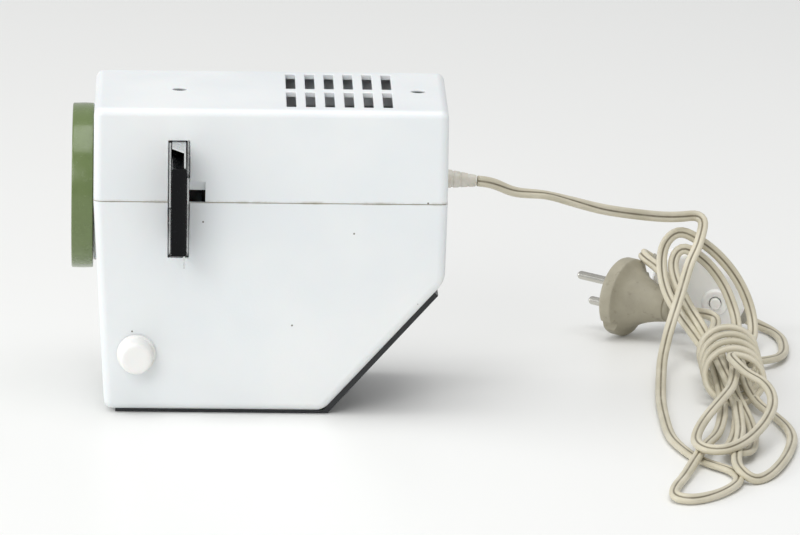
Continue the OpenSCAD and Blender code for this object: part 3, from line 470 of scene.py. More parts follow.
def turned(name, at, axis, profile, sides=96, closed=True):
    """A lathe piece: a circle drawn out along the axis through (distance, radius) stops."""
    bpy.ops.object.select_all(action="DESELECT")
    axis = Vector(axis).normalized()
    turn = Vector((0, 0, 1)).rotation_difference(axis)
    at = place(*at)
    first = profile[0]
    bpy.ops.mesh.primitive_circle_add(vertices=sides, radius=first[1] * MM, fill_type="NOTHING",
                                      location=at + axis * first[0] * MM, rotation=turn.to_euler())
    made = bpy.context.object
    made.name = made.data.name = name
    bpy.ops.object.transform_apply()
    bpy.ops.object.mode_set(mode="EDIT")
    bpy.ops.mesh.select_all(action="SELECT")
    if closed:
        bpy.ops.mesh.edge_face_add()
        bpy.ops.mesh.select_mode(type="EDGE")
        bpy.ops.mesh.select_all(action="SELECT")
    was = first
    form = bmesh.from_edit_mesh(made.data)
    loop = [e for e in form.edges]
    for stop in profile[1:]:
        grown = bmesh.ops.extrude_edge_only(form, edges=loop)
        points = [g for g in grown["geom"] if isinstance(g, bmesh.types.BMVert)]
        loop = [g for g in grown["geom"] if isinstance(g, bmesh.types.BMEdge)]
        middle = at + axis * was[0] * MM
        scale = stop[1] / was[1]
        for v in points:
            v.co = middle + (v.co - middle) * scale + axis * (stop[0] - was[0]) * MM
        was = stop
    if closed:
        bmesh.ops.contextual_create(form, geom=loop)
    bmesh.ops.recalc_face_normals(form, faces=form.faces)
    bmesh.update_edit_mesh(made.data)
    bpy.ops.object.mode_set(mode="OBJECT")
    return made


def copies_joined(piece, shifts):
    """Copies a cutter to other places and joins them into one."""
    rest = []
    for shift in shifts:
        other = piece.copy()
        other.data = piece.data.copy()
        other.data.transform(Matrix.Translation(place(*shift)))
        bpy.context.scene.collection.objects.link(other)
        rest.append(other)
    only(*rest)
    bpy.ops.object.join()
    joined = bpy.context.object
    bpy.data.objects.remove(piece)
    return joined


def lipped_slot(name, low, high, corner, lip, way):
    """A cutter for an opening with rounded corners, flared at the face that it opens in.
    way is the axis and the sign that the mouth looks along."""
    cutter = cube(name, low, high)
    k, sign = way
    face = high[k] if sign > 0 else low[k]
    others = [i for i in range(3) if i != k]
    middle = [(low[i] + high[i]) / 2 for i in range(3)]
    half = [(high[i] - low[i]) / 2 for i in range(3)]
    bpy.ops.object.mode_set(mode="EDIT")
    round_edges(lambda a, b: abs(a[k] - b[k]) > 0.5 * (high[k] - low[k]), corner, 4)
    pick("FACE", lambda c, n: sign * n[k] > 0.9 and abs(c[k] - face) < 0.01)
    steps = 4
    size = list(half)
    depth = 0.0
    for i in range(1, steps + 1):
        a = math.radians(90) * i / steps
        step_out = lip * (1 - math.cos(a)) - (size[others[0]] - half[others[0]])
        rise = lip * math.sin(a) - depth
        move = [0, 0, 0]
        move[k] = sign * rise * MM
        bpy.ops.mesh.extrude_region_move(TRANSFORM_OT_translate={"value": move})
        factor = [1, 1, 1]
        for j in others:
            factor[j] = (size[j] + step_out) / size[j]
            size[j] += step_out
        bpy.ops.transform.resize(value=factor, center_override=place(*middle))
        depth += rise
    move = [0, 0, 0]
    move[k] = sign * MM
    bpy.ops.mesh.extrude_region_move(TRANSFORM_OT_translate={"value": move})
    bpy.ops.object.mode_set(mode="OBJECT")
    return cutter


def slot_cutter():
    return lipped_slot("slot_cutter", (SLOT_X - SLOT_W / 2, -BODY_HALF_W + 0.5, SLOT_LOW),
                       (SLOT_X + SLOT_W / 2, -BODY_HALF_W + WALL + 1.5, SLOT_HIGH), 0.4, 0.5, (1, -1))


def bore_cutter(at, axis, profile):
    return turned("bore_cutter", at, axis, profile, sides=48)


def relief_cutter():
    return bore_cutter((REAR_X - 8, 11, PARTING_Z), (1, 0, 0), [(0, 3.4), (20, 3.4)])


upper = cube("upper_shell", (-BODY_HALF, -BODY_HALF_W, PARTING_Z), (BODY_HALF, BODY_HALF_W, BODY_TOP))
bpy.ops.object.mode_set(mode="EDIT")
round_edges(upright, CORNER, 8)
round_edges(lambda a, b: min(a.z, b.z) > BODY_TOP - 0.01, CORNER - 0.3, 8)
pick("FACE", lambda c, n: n.z < -0.9)
bpy.ops.mesh.delete(type="FACE")
bpy.ops.object.mode_set(mode="OBJECT")
hollowed(upper, WALL)

SCREWS = ((SLOT_X, 137, 128), (67, 135, 100.5))     # along the middle: x, top of the head, foot of the boss
RECESS = 3.3
for x, head, foot in SCREWS:
    cut(upper, turned("boss", (x, 0, foot), (0, 0, 1), [(0, 4.6), (BODY_TOP - 1.2 - foot, 4.6)], sides=48),
        "UNION")
for x, head, foot in SCREWS:
    cut(upper, bore_cutter((x, 0, head - 2), (0, 0, 1), [
        (0, RECESS), (BODY_TOP - head + 1.6, RECESS), (BODY_TOP - head + 1.85, RECESS + 0.12),
        (BODY_TOP - head + 2, RECESS + 0.4), (BODY_TOP - head + 3, RECESS + 0.4)]))
    cut(upper, bore_cutter((x, 0, foot - 1), (0, 0, 1), [(0, 1.7), (head - foot, 1.7)]))

VENT_W, VENT_L, VENT_PITCH, VENT_COUNT, VENT_X = 4.4, 35, 8.74, 6, 6.8
vent = lipped_slot("vent_cutter", (VENT_X, 3.5, BODY_TOP - WALL - 1),
    (VENT_X + VENT_W, 3.5 + VENT_L, BODY_TOP - 0.45),
                   0.7, 0.45, (2, 1))
cut(upper, copies_joined(vent, [(i * VENT_PITCH, s, 0) for i in range(VENT_COUNT) for s in (0, -7 - VENT_L)]))
cut(upper, slot_cutter())

SCOOP_W = 7.2
scoop = cube("scoop_cutter", (SLOT_X + SLOT_W / 2 - 1, -BODY_HALF_W - 1, PARTING_Z - 2),
             (SLOT_X + SLOT_W / 2 + SCOOP_W, -BODY_HALF_W + WALL + 1, PARTING_Z + 3))
bpy.ops.object.mode_set(mode="EDIT")
pick("FACE", lambda c, n: n.z > 0.9)
for rise, inner in ((4.6, -2.2), (1.4, -0.9), (0.6, -0.6)):
    bpy.ops.mesh.extrude_region_move(TRANSFORM_OT_translate={"value": place(0, 0, rise)})
    form = bmesh.from_edit_mesh(scoop.data)
    top = max(v.co.z for v in form.verts)
    for v in form.verts:
        if v.co.z > top - 1e-5 and v.co.y > (-BODY_HALF_W - 0.9) * MM:
            v.co.y += inner * MM
    bmesh.update_edit_mesh(scoop.data)
round_edges(lambda a, b: max(a.x, b.x) > SLOT_X + SLOT_W / 2 + SCOOP_W - 0.01 and min(a.x,
    b.x) > SLOT_X + SLOT_W / 2 + SCOOP_W - 0.01
            and upright(a, b) and min(a.y, b.y) > -BODY_HALF_W - 0.9, 1.2, 4)
bpy.ops.object.mode_set(mode="OBJECT")
cut(upper, scoop)
cut(upper, bore_cutter((-BODY_HALF - 1, 0, AXIS_Z), (1, 0, 0), [(0, 24.6), (6, 24.6)]))
cut(upper, relief_cutter())

FRONT_LEAN, SIDE_LEAN = math.tan(math.radians(3.3)), math.tan(math.radians(1.2))
LOWER_TOP = PARTING_Z - SHADOW_GAP
lower = cube("lower_shell", (-BODY_HALF, -BODY_HALF_W, BASE_T), (BODY_HALF, BODY_HALF_W, LOWER_TOP))
bpy.ops.object.mode_set(mode="EDIT")
pick("FACE", lambda c, n: n.z < -0.9)
drop = LOWER_TOP - BASE_T
foot_length = 2 * BODY_HALF - drop * (FRONT_LEAN + SIDE_LEAN)
bpy.ops.transform.resize(value=(foot_length / (2 * BODY_HALF), 1 - drop * SIDE_LEAN / BODY_HALF_W, 1),
                         center_override=place(0, 0, BASE_T))
bpy.ops.transform.translate(value=place(drop * (FRONT_LEAN - SIDE_LEAN) / 2, 0, 0))
slope = Vector((CUT_TOP[0] - CUT_X, 0, CUT_TOP[1])).normalized()
outward = Vector((slope.z, 0, -slope.x))
bpy.ops.mesh.select_all(action="SELECT")
bpy.ops.mesh.bisect(plane_co=place(CUT_X, 0, 0) - outward * SLOPE_T * MM, plane_no=outward, use_fill=True,
    clear_outer=True)
round_edges(lambda a, b: min(a.z, b.z) < LOWER_TOP - 0.01, CORNER, 8)
pick("FACE", lambda c, n: n.z > 0.9 and c.z > LOWER_TOP - 0.01)
bpy.ops.mesh.delete(type="FACE")
bpy.ops.object.mode_set(mode="OBJECT")
hollowed(lower, WALL)
collar = turned("mount_collar", (-BODY_HALF + 0.05, 0, AXIS_Z), (1, 0, 0), [(0, 33.6), (0.4, 34), (5, 34)])
cut(collar, cube("above", (-BODY_HALF - 5, -60, LOWER_TOP), (-60, 60, 150)))
cut(lower, collar, "UNION")
cut(lower, slot_cutter())
cut(lower, bore_cutter((-BODY_HALF - 1, 0, AXIS_Z), (1, 0, 0), [(0, 24.6), (7, 24.6)]))
cut(lower, relief_cutter())
KNOB_X, KNOB_Z = -60, 28
cut(lower, bore_cutter((KNOB_X, -BODY_HALF_W - 1, KNOB_Z), (0, 1, 0), [(0, 2.9), (8, 2.9)]))
cut(lower, cube("foot_opening", (KNOB_X - 7.3, -30.3, 0), (KNOB_X + 7.3, -24.7, BASE_T + WALL + 1)))
for i in range(4):
    cut(lower, cube("air_slot", (SLOT_X + 14 + 7 * i, -18, 0), (SLOT_X + 18 + 7 * i, 18, BASE_T + WALL + 1)))

TONGUE_IN = 0.7
tongue = cube("parting_tongue", (TONGUE_IN - BODY_HALF, TONGUE_IN - BODY_HALF_W, PARTING_Z - 2.2),
              (BODY_HALF - TONGUE_IN, BODY_HALF_W - TONGUE_IN, PARTING_Z + 1.6))
bpy.ops.object.mode_set(mode="EDIT")
round_edges(upright, CORNER - TONGUE_IN, 6)
pick("FACE", lambda c, n: abs(n.z) > 0.9)
bpy.ops.mesh.delete(type="FACE")
bpy.ops.object.mode_set(mode="OBJECT")
hollowed(tongue, 1.0)
cut(tongue, cube("scoop_room", (SLOT_X, -BODY_HALF_W - 1, PARTING_Z - 5),
                 (SLOT_X + SLOT_W / 2 + SCOOP_W + 0.1, -BODY_HALF_W + 4, PARTING_Z + 5)))
cut(tongue, slot_cutter())
cut(tongue, bore_cutter((-BODY_HALF - 1, 0, AXIS_Z), (1, 0, 0), [(0, 24.6), (6, 24.6)]))
cut(tongue, relief_cutter())


# ---------- Finish of the shells ----------
# White polystyrene off a lightly grained mould, some decades old: a satin skin with a
# slow unevenness, a few ingrained specks, a patchy darker band painted along the
# parting and painted shade in the screw recesses.

def specks(tree, where, places, radius):
    """How near a point is to one of the places, for a few single marks."""
    best = None
    for spot in places:
        near = add(tree, "VectorMath", {"operation": "DISTANCE"}, {0: where, 1: place(*spot)})
        mark = add(tree, "MapRange", {"interpolation_type": "SMOOTHSTEP"}, {
            "Value": near.outputs["Value"], "From Min": radius * 0.5 * MM, "From Max": radius * MM,
            "To Min": 1.0, "To Max": 0.0}).outputs["Result"]
        best = mark if best is None else add(tree, "Math", {"operation": "MAXIMUM"},
            {0: best, 1: mark}).outputs[0]
    return best


polystyrene, tree, shader, where = new_finish("polystyrene_moulded_white", 0.36)
slow = add(tree, "TexNoise", {}, {"Vector": where, "Scale": 14.0, "Detail": 3.0, "Roughness": 0.55})
shell_white = blended(tree, soft_band(tree, slow.outputs["Fac"], 0.3, 0.72), hex_colour("#E4E8EA"),
    hex_colour("#EBEDED"))
height = add(tree, "SeparateXYZ", {}, {"Vector": where}).outputs["Z"]
off_parting = add(tree, "Math", {"operation": "ABSOLUTE"}, {
    0: add(tree, "Math", {"operation": "SUBTRACT"}, {0: height, 1: PARTING_Z * MM}).outputs[0]})
patchy_noise = add(tree, "TexNoise", {}, {"Vector": where, "Scale": 90.0, "Detail": 5.0, "Roughness": 0.7})
# a patchy darker tan band is painted along the parting line, within about a millimetre of it
parting_band = add(tree, "Math", {"operation": "MULTIPLY"}, {
    0: soft_band(tree, off_parting.outputs[0], 0.0003, 0.0011, 1.0, 0.0),
    1: soft_band(tree, patchy_noise.outputs["Fac"], 0.4, 0.75, 0.05, 0.6)})
shell_white = blended(tree, parting_band.outputs[0], shell_white, hex_colour("#A39B86"))
SPECKS = ((10.3, -45.8, 41.6), (-30.4, -46.8, 89.3), (-62, -45.7, 38.1), (37.8, -46.7, 84.5),
    (67.2, -46, 51.9), (71, -47, 98.9))
shell_white = blended(tree, specks(tree, where, SPECKS, 0.55), shell_white, hex_colour("#6B665C"))
flat_place = add(tree, "VectorMath", {"operation": "MULTIPLY"}, {0: where, 1: (1, 1, 0)})
near_screw = None
for x, head, foot in SCREWS:
    off = add(tree, "VectorMath", {"operation": "DISTANCE"},
        {0: flat_place.outputs["Vector"], 1: place(x, 0, 0)})
    near = soft_band(tree, off.outputs["Value"], (RECESS + 0.05) * MM, (RECESS + 0.3) * MM, 1.0, 0.0)
    near_screw = near if near_screw is None else add(tree, "Math", {"operation": "MAXIMUM"},
        {0: near_screw, 1: near}).outputs[0]
# painted shade: the walls of the screw recesses are painted near black below the top surface
recess_shade = add(tree, "Math", {"operation": "MULTIPLY"}, {
    0: near_screw, 1: soft_band(tree, height, 0.1398, 0.1406, 0.94, 0.0)})
shell_white = blended(tree, recess_shade.outputs[0], shell_white, hex_colour("#2B2925"))
dust = add(tree, "TexVoronoi", {"feature": "F1"}, {"Vector": where, "Scale": 95.0, "Randomness": 1.0})
dust_near = soft_band(tree, dust.outputs["Distance"], 0.02, 0.05, 1.0, 0.0)
dust_rare = soft_band(tree, patchy_noise.outputs["Fac"], 0.62, 0.66)
dusty = add(tree, "Math", {"operation": "MULTIPLY"}, {0: dust_near, 1: dust_rare})
dusty = add(tree, "Math", {"operation": "MULTIPLY"}, {0: dusty.outputs[0], 1: 0.5})
shell_white = blended(tree, dusty.outputs[0], shell_white, hex_colour("#9A958A"))
tree.links.new(shell_white, shader.inputs["Base Color"])
worn = soft_band(tree, slow.outputs["Fac"], 0.35, 0.65, 0.32, 0.42)
tree.links.new(worn, shader.inputs["Roughness"])
grain = add(tree, "TexNoise", {}, {"Vector": where, "Scale": 900.0, "Detail": 2.0})
swell = add(tree, "TexNoise", {}, {"Vector": where, "Scale": 22.0, "Detail": 1.0})
both = add(tree, "Math", {"operation": "MULTIPLY_ADD"},
    {0: swell.outputs["Fac"], 1: 5.0, 2: grain.outputs["Fac"]})
bumped(tree, shader, both.outputs[0], 0.16, 0.00025)
shader.inputs["Subsurface Weight"].default_value = 0.06
shader.inputs["Subsurface Scale"].default_value = 0.002

finish_piece(upper, polystyrene, "projector", "housing_white", "upper_housing")
finish_piece(lower, polystyrene, "projector", "housing_white", "lower_housing")

yellowed, tree, shader, where = new_finish("polystyrene_yellowed_edge", 0.5)
mottle = add(tree, "TexNoise", {}, {"Vector": where, "Scale": 70.0, "Detail": 4.0})
painted(tree, shader, soft_band(tree, mottle.outputs["Fac"], 0.35, 0.65), hex_colour("#CFC5A4"),
    hex_colour("#B3A88A"))
finish_piece(tongue, yellowed, "projector", "housing_white")


# ---------- Base plate ----------
# Sheet steel, folded once where the base turns up, with black stoving enamel that has
# worn through to grey in patches. Countersunk screws hold it from below.

black_enamel, tree, shader, where = new_finish("stoving_enamel_black", 0.34)
wear = add(tree, "TexNoise", {}, {"Vector": where, "Scale": 120.0, "Detail": 6.0, "Roughness": 0.7})
painted(tree, shader, soft_band(tree, wear.outputs["Fac"], 0.58, 0.75), hex_colour("#1C1D20"),
    hex_colour("#3A3B3E"))
tree.links.new(soft_band(tree, wear.outputs["Fac"], 0.3, 0.7, 0.28, 0.46), shader.inputs["Roughness"])
peel = add(tree, "TexNoise", {}, {"Vector": where, "Scale": 500.0})
bumped(tree, shader, peel.outputs["Fac"], 0.2, 0.0003)


# ---------- Focusing ring ----------
# A turned-looking disc moulded in olive-green ABS, glossy, with a soft round edge and a
# shallow dish round the lens. Its sleeve turns in the mount behind the front wall.

RING_FRONT, RING_R, RING_EDGE = -90, 37.5, 0.7
BARREL_R = 20
edge = [(RING_EDGE - RING_EDGE * math.cos(a), RING_R - RING_EDGE + RING_EDGE * math.sin(a))
        for a in (math.radians(15 * i) for i in range(7))]
ring = turned("focusing_ring", (RING_FRONT, 0, AXIS_Z), (1, 0, 0), (
    [(29.5, BARREL_R + 0.05), (3.4, BARREL_R + 0.05), (3.0, BARREL_R + 0.3), (3.1, 22.6), (2.9, 23.4),
    (0.5, 31),
     (0.15, 31.9), (0, 32.8)] + edge + [
        (5.4, RING_R + 0.12), (9.3, RING_R), (9.7, RING_R - 0.4), (9.7, 24), (14.8, 24), (14.8, 23),
        (29.5, 23)]),
    sides=160, closed=False)
bpy.ops.object.mode_set(mode="EDIT")
pick("EDGE", lambda a, b: min(a.x, b.x) > RING_FRONT + 29.4)
bpy.ops.mesh.bridge_edge_loops()
bpy.ops.mesh.select_all(action="SELECT")
bpy.ops.mesh.normals_make_consistent(inside=False)
bpy.ops.object.mode_set(mode="OBJECT")

olive_abs, tree, shader, where = new_finish("abs_glossy_olive", 0.2)
tint = add(tree, "TexNoise", {}, {"Vector": where, "Scale": 30.0, "Detail": 3.0})
painted(tree, shader, soft_band(tree, tint.outputs["Fac"], 0.3, 0.7), hex_colour("#5F7040"),
    hex_colour("#69794A"))
handling = add(tree, "TexNoise", {}, {"Vector": where, "Scale": 210.0, "Detail": 5.0, "Roughness": 0.65})
tree.links.new(soft_band(tree, handling.outputs["Fac"], 0.35, 0.75, 0.16, 0.34), shader.inputs["Roughness"])
shader.inputs["Coat Weight"].default_value = 0.25
shader.inputs["Coat Roughness"].default_value = 0.12
ripple = add(tree, "TexNoise", {}, {"Vector": where, "Scale": 60.0, "Detail": 1.0})
bumped(tree, shader, ripple.outputs["Fac"], 0.1, 0.0004)
finish_piece(ring, olive_abs, "focus_ring", "ring_olive", "focus_ring")


# ---------- Slide changer ----------
# A sheet-aluminium carriage with a black moulded grip block across its outer end. The
# block's edges are rounded and its end face carries a shallow finger hollow.

BLOCK_LOW, BLOCK_HIGH = (-44.7, -74, 79), (-38.1, -26, 119)
grip = cube("changer_grip", BLOCK_LOW, BLOCK_HIGH)
bpy.ops.object.mode_set(mode="EDIT")
pick("FACE", lambda c, n: n.y < -0.9)
bpy.ops.mesh.inset(thickness=1.3 * MM)
bpy.ops.transform.translate(value=place(0, 0.5, 0))
round_edges(lambda a, b: (abs(a.x - BLOCK_LOW[0]) + abs(b.x - BLOCK_LOW[0]) < 0.01
                          or abs(a.x - BLOCK_HIGH[0]) + abs(b.x - BLOCK_HIGH[0]) < 0.01
                          or abs(a.y - BLOCK_LOW[1]) + abs(b.y - BLOCK_LOW[1]) < 0.01), 0.5, 3)
bpy.ops.object.mode_set(mode="OBJECT")
cut(grip, cube("web_slit", (-39.25, BLOCK_LOW[1] + 1.5, 78), (-38.35, -20, 120)))

black_abs, tree, shader, where = new_finish("abs_moulded_black", 0.3)
scuffs = add(tree, "TexNoise", {}, {"Vector": where, "Scale": 260.0, "Detail": 6.0, "Roughness": 0.7})
painted(tree, shader, soft_band(tree, scuffs.outputs["Fac"], 0.6, 0.78), hex_colour("#08090C"),
    hex_colour("#1B1C20"))
tree.links.new(soft_band(tree, scuffs.outputs["Fac"], 0.35, 0.7, 0.24, 0.42), shader.inputs["Roughness"])
shader.inputs["Specular IOR Level"].default_value = 0.14
bumped(tree, shader, scuffs.outputs["Fac"], 0.15, 0.0002)
finish_piece(grip, black_abs, "changer", "black_plastic", "changer_handle")


# ---------- Clamping knob ----------
# White urea moulding with a plain collar and a slightly tapered grip, painted greyer
# on its right side as shade. It is pressed on the screw that clamps the foot.

KNOB_Y, KNOB_R = -45.98, 8.8
knob = turned("clamp_knob_moulding", (KNOB_X, KNOB_Y, KNOB_Z), (0, -1, 0), [
    (-0.1, 3.2), (0, 3.4), (0, KNOB_R - 0.6), (0.18, KNOB_R - 0.18), (0.6, KNOB_R), (2.1, KNOB_R),
    (2.5, KNOB_R - 0.15), (2.75, KNOB_R - 0.5), (3.1, KNOB_R - 0.85), (10.6, KNOB_R - 1.45),
    (11.5, KNOB_R - 1.75), (12.1, KNOB_R - 2.3), (12.4, KNOB_R - 3.0), (12.5, KNOB_R - 3.9), (12.42, 3.4),
    (12.4, 0.4)])
urea, tree, shader, where = new_finish("urea_moulded_white", 0.3)
knob_mottle = add(tree, "TexNoise", {}, {"Vector": where, "Scale": 130.0, "Detail": 4.0})
to_side = add(tree, "VectorMath", {"operation": "DISTANCE"},
    {0: where, 1: place(KNOB_X + 8.5, KNOB_Y - 6, KNOB_Z - 1)})
# painted shade: the right side of the grip, away from the light, is greyed and broken up by noise
knob_side_shade = add(tree, "Math", {"operation": "MULTIPLY"}, {
    0: soft_band(tree, to_side.outputs["Value"], 0.002, 0.009, 0.75, 0.0),
    1: soft_band(tree, knob_mottle.outputs["Fac"], 0.35, 0.65)})
painted(tree, shader, knob_side_shade.outputs[0], hex_colour("#EDEDEA"), hex_colour("#C9C3B4"))
shader.inputs["Subsurface Weight"].default_value = 0.08
shader.inputs["Subsurface Scale"].default_value = 0.0015
bumped(tree, shader, knob_mottle.outputs["Fac"], 0.08, 0.0003)
finish_piece(knob, urea, "clamp_knob", "knob_white", "clamp_knob")


# ---------- Strain relief ----------
# A soft PVC sleeve moulded on the lead and gripped in the parting line: a collar
# inside, then a taper that three ring grooves let bend.

RELIEF_AXIS = Vector(past_relief(1)) - Vector(past_relief(0))
relief = turned("strain_relief_sleeve", past_relief(0), RELIEF_AXIS, [
    (-2.4, 2.0), (-2.4, 2.9), (0.2, 2.9), (0.25, 4.1), (0.7, 4.3), (3.0, 4.15), (3.3, 3.75), (3.9, 3.7),
    (4.2, 3.95),
    (6.6, 3.7), (6.9, 3.35), (7.5, 3.3), (7.8, 3.5), (10.4, 3.2), (10.7, 2.9), (11.3, 2.85), (11.6, 3.0),
    (13.9, 2.8), (14.5, 2.4), (14.5, 1.6)], sides=48)
relief_pvc, tree, shader, where = new_finish("relief_pvc_moulded", 0.4)
cloud = add(tree, "TexNoise", {}, {"Vector": where, "Scale": 200.0, "Detail": 3.0})
painted(tree, shader, soft_band(tree, cloud.outputs["Fac"], 0.35, 0.65), hex_colour("#D2CDC0"),
    hex_colour("#DDD9CF"))
shader.inputs["Subsurface Weight"].default_value = 0.08
shader.inputs["Subsurface Scale"].default_value = 0.001
bumped(tree, shader, cloud.outputs["Fac"], 0.12, 0.0002)
finish_piece(relief, relief_pvc, "projector", "lead_beige", "strain_relief")


# ---------- Switch in the lead ----------
# Two glossy white shells of urea, screwed together over the contacts; a bezel on the
# front holds a small press button, and a soft neck at each end grips the lead.

SWITCH_FACE = Matrix.Translation(place(*SWITCH_AT)) @ Matrix.Rotation(SWITCH_TILT, 4,
    "Y") @ Matrix.Rotation(math.radians(90), 4, "X")
BUTTON_ALONG = 8.5


def on_switch(piece):
    """Moves a piece drawn flat, its face up along Z, to the switch."""
    piece.data.transform(SWITCH_FACE)
    return piece


def oval(name, low, high, inset, sides=14):
    """A flat oval block with a bowed end at each side, drawn flat."""
    half_l, half_w = SWITCH_LENGTH / 2 - inset, SWITCH_WIDTH / 2 - inset
    made = cube(name, (-half_l, -half_w, low), (half_l, half_w, high))
    bpy.ops.object.mode_set(mode="EDIT")
    pick("EDGE", lambda a, b: abs(a.z - b.z) > 0.5 * (high - low))
    bpy.ops.mesh.bevel(offset=(half_w - 0.4) * MM, segments=sides, profile=0.5, affect="EDGES")
    bpy.ops.object.mode_set(mode="OBJECT")
    return made


SEAM = 0.15
halves = []
for name, low, high in (("switch_rear_shell", -SWITCH_THICK / 2, -SEAM),
    ("switch_front_shell", SEAM, SWITCH_THICK / 2)):
    shell = oval(name, low, high, 0)
    face = high if high > 0 else low
    bpy.ops.object.mode_set(mode="EDIT")
    round_edges(lambda a, b: abs(a.z - face) < 0.01 and abs(b.z - face) < 0.01, 3.6, 7)
    seam = low if high > 0 else high
    round_edges(lambda a, b: abs(a.z - seam) < 0.01 and abs(b.z - seam) < 0.01, 0.35, 2)
    bpy.ops.object.mode_set(mode="OBJECT")
    halves.append(shell)
rear_half, front_half = halves
cut(front_half, turned("bezel", (BUTTON_ALONG, 0, SWITCH_THICK / 2 - 2), (0, 0, 1), [
    (0, 6.6), (2.0, 6.6), (2.25, 6.35), (3.0, 6.1), (3.4, 5.8), (3.6, 5.3)], sides=72), "UNION")
cut(front_half, turned("bezel_dish", (BUTTON_ALONG, 0, SWITCH_THICK / 2 - 4), (0, 0, 1), [
    (0, 2.95), (4.7, 2.95), (4.9, 3.1), (5.6, 4.7), (6.4, 4.9)], sides=72))
neck_cut = lambda: cube("neck_cutter", (-SWITCH_LENGTH, -3.1, -1.9), (SWITCH_LENGTH, 3.1, 1.9))
for half in halves:
    cut(half, neck_cut())
button = turned("switch_button_cap", (BUTTON_ALONG, 0, SWITCH_THICK / 2 - 5), (0, 0, 1), [
    (0, 1.5), (0, 2.6), (8.2, 2.6), (8.55, 2.5), (8.8, 2.2), (8.9, 1.4), (8.92, 0.3)], sides=48)
core = oval("switch_core", -0.8, 0.8, 1.1)
necks = []
for end in (-1, 1):
    neck = turned("switch_neck", (end * (SWITCH_LENGTH / 2 - 3), 0, 0), (end, 0, 0), [
        (0, 3.3), (3.2, 3.3), (3.5, 3.75), (4.4, 3.8), (5.0, 3.6), (5.3, 3.1), (5.9, 3.0), (6.2, 3.25),
        (7.0, 3.1),
        (7.4, 2.6)], sides=40)
    for v in neck.data.vertices:
        v.co.z *= 0.72
    necks.append(neck)

switch_urea, tree, shader, where = new_finish("switch_urea_glossy", 0.16)
faded = add(tree, "TexNoise", {}, {"Vector": where, "Scale": 60.0, "Detail": 3.0})
painted(tree, shader, soft_band(tree, faded.outputs["Fac"], 0.35, 0.68), hex_colour("#F6F6F4"),
    hex_colour("#FBFAF7"))
tree.links.new(soft_band(tree, faded.outputs["Fac"], 0.3, 0.7, 0.13, 0.24), shader.inputs["Roughness"])
bumped(tree, shader, faded.outputs["Fac"], 0.06, 0.0004)
shader.inputs["Subsurface Weight"].default_value = 0.06
shader.inputs["Subsurface Scale"].default_value = 0.0015

grey_pvc, tree, shader, where = new_finish("neck_pvc_grey", 0.5)
cloud = add(tree, "TexNoise", {}, {"Vector": where, "Scale": 150.0, "Detail": 3.0})
painted(tree, shader, cloud.outputs["Fac"], hex_colour("#9B978B"), hex_colour("#B9B5A8"))
bumped(tree, shader, cloud.outputs["Fac"], 0.15, 0.0002)

finish_piece(on_switch(rear_half), switch_urea, "projector", "switch_white", "switch_base", angle=40)
finish_piece(on_switch(front_half), switch_urea, "projector", "switch_white", "switch_cover", angle=40)
finish_piece(on_switch(button), switch_urea, "switch_button", "switch_white", "switch_button")
finish_piece(on_switch(core), grey_pvc, "projector", "switch_white")
for neck in necks:
    finish_piece(on_switch(neck), grey_pvc, "projector", "switch_white")


# ---------- Plug ----------
# A soft grey-beige contour plug moulded round its pins in one piece with the lead's
# end: a round face with an earth notch at each side, and a waisted, ribbed tail.

PLUG_FACE = (Matrix.Translation(place(*PLUG_AT)) @ Matrix.Rotation(PLUG_TURN, 4, "Z")
             @ Matrix.Rotation(math.radians(90) - PLUG_RISE, 4, "Y") @ Matrix.Rotation(PLUG_ROLL, 4, "Z"))
PLUG_R, PIN_GAP, PIN_R, PIN_LENGTH = 18.5, 19, 2, 19
plug = turned("plug_moulding", (0, 0, 0), (0, 0, 1), [
    (0, 5), (0, PLUG_R - 2.2), (-0.3, PLUG_R - 1.2), (-1.0, PLUG_R - 0.4), (-2.0, PLUG_R), (-6.2, PLUG_R),
    (-6.8, PLUG_R - 0.3),
    (-7.2, PLUG_R - 1.2), (-8.0, PLUG_R - 2.8), (-9.4, PLUG_R - 4.4), (-11.2, 13.0), (-14, 11.4),
    (-18, 9.7), (-22, 8.5),
    (-26, 7.7), (-28.0, 7.3), (-28.4, 6.7), (-29.2, 6.7), (-29.6, 7.0), (-31.0, 6.5), (-31.4, 5.9),
    (-32.2, 5.8), (-32.6, 6.0),
    (-34.0, 5.3), (-34.8, 4.8), (-35.6, 4.2), (-36, 3.4), (-36, 2.2)], sides=96)
for s in (-1, 1):
    cut(plug, turned("earth_notch", (0, s * (PLUG_R + 0.5), -14), (0, 0, 1),
        [(0, 1.2), (1.2, 2.6), (3.4, 3.0), (20, 3.0)], sides=40))
pins = []
for s in (-1, 1):
    pin = turned("plug_pin", (s * PIN_GAP / 2, 0, -5.5), (0, 0, 1), [
        (0, 1.45), (5.5, 1.45), (5.55, PIN_R), (5.5 + PIN_LENGTH - 1.6, PIN_R),
        (5.5 + PIN_LENGTH - 0.9, PIN_R - 0.25),
        (5.5 + PIN_LENGTH - 0.3, PIN_R - 0.85), (5.5 + PIN_LENGTH, PIN_R - 1.5)], sides=40)
    collar = turned("pin_collar", (s * PIN_GAP / 2, 0, -0.6), (0, 0, 1), [
        (0, 3.3), (0.9, 3.3), (1.15, 3.1), (1.25, 2.7), (1.25, 2.05), (0.6, 2.05)], sides=40)
    pins.append((pin, collar))

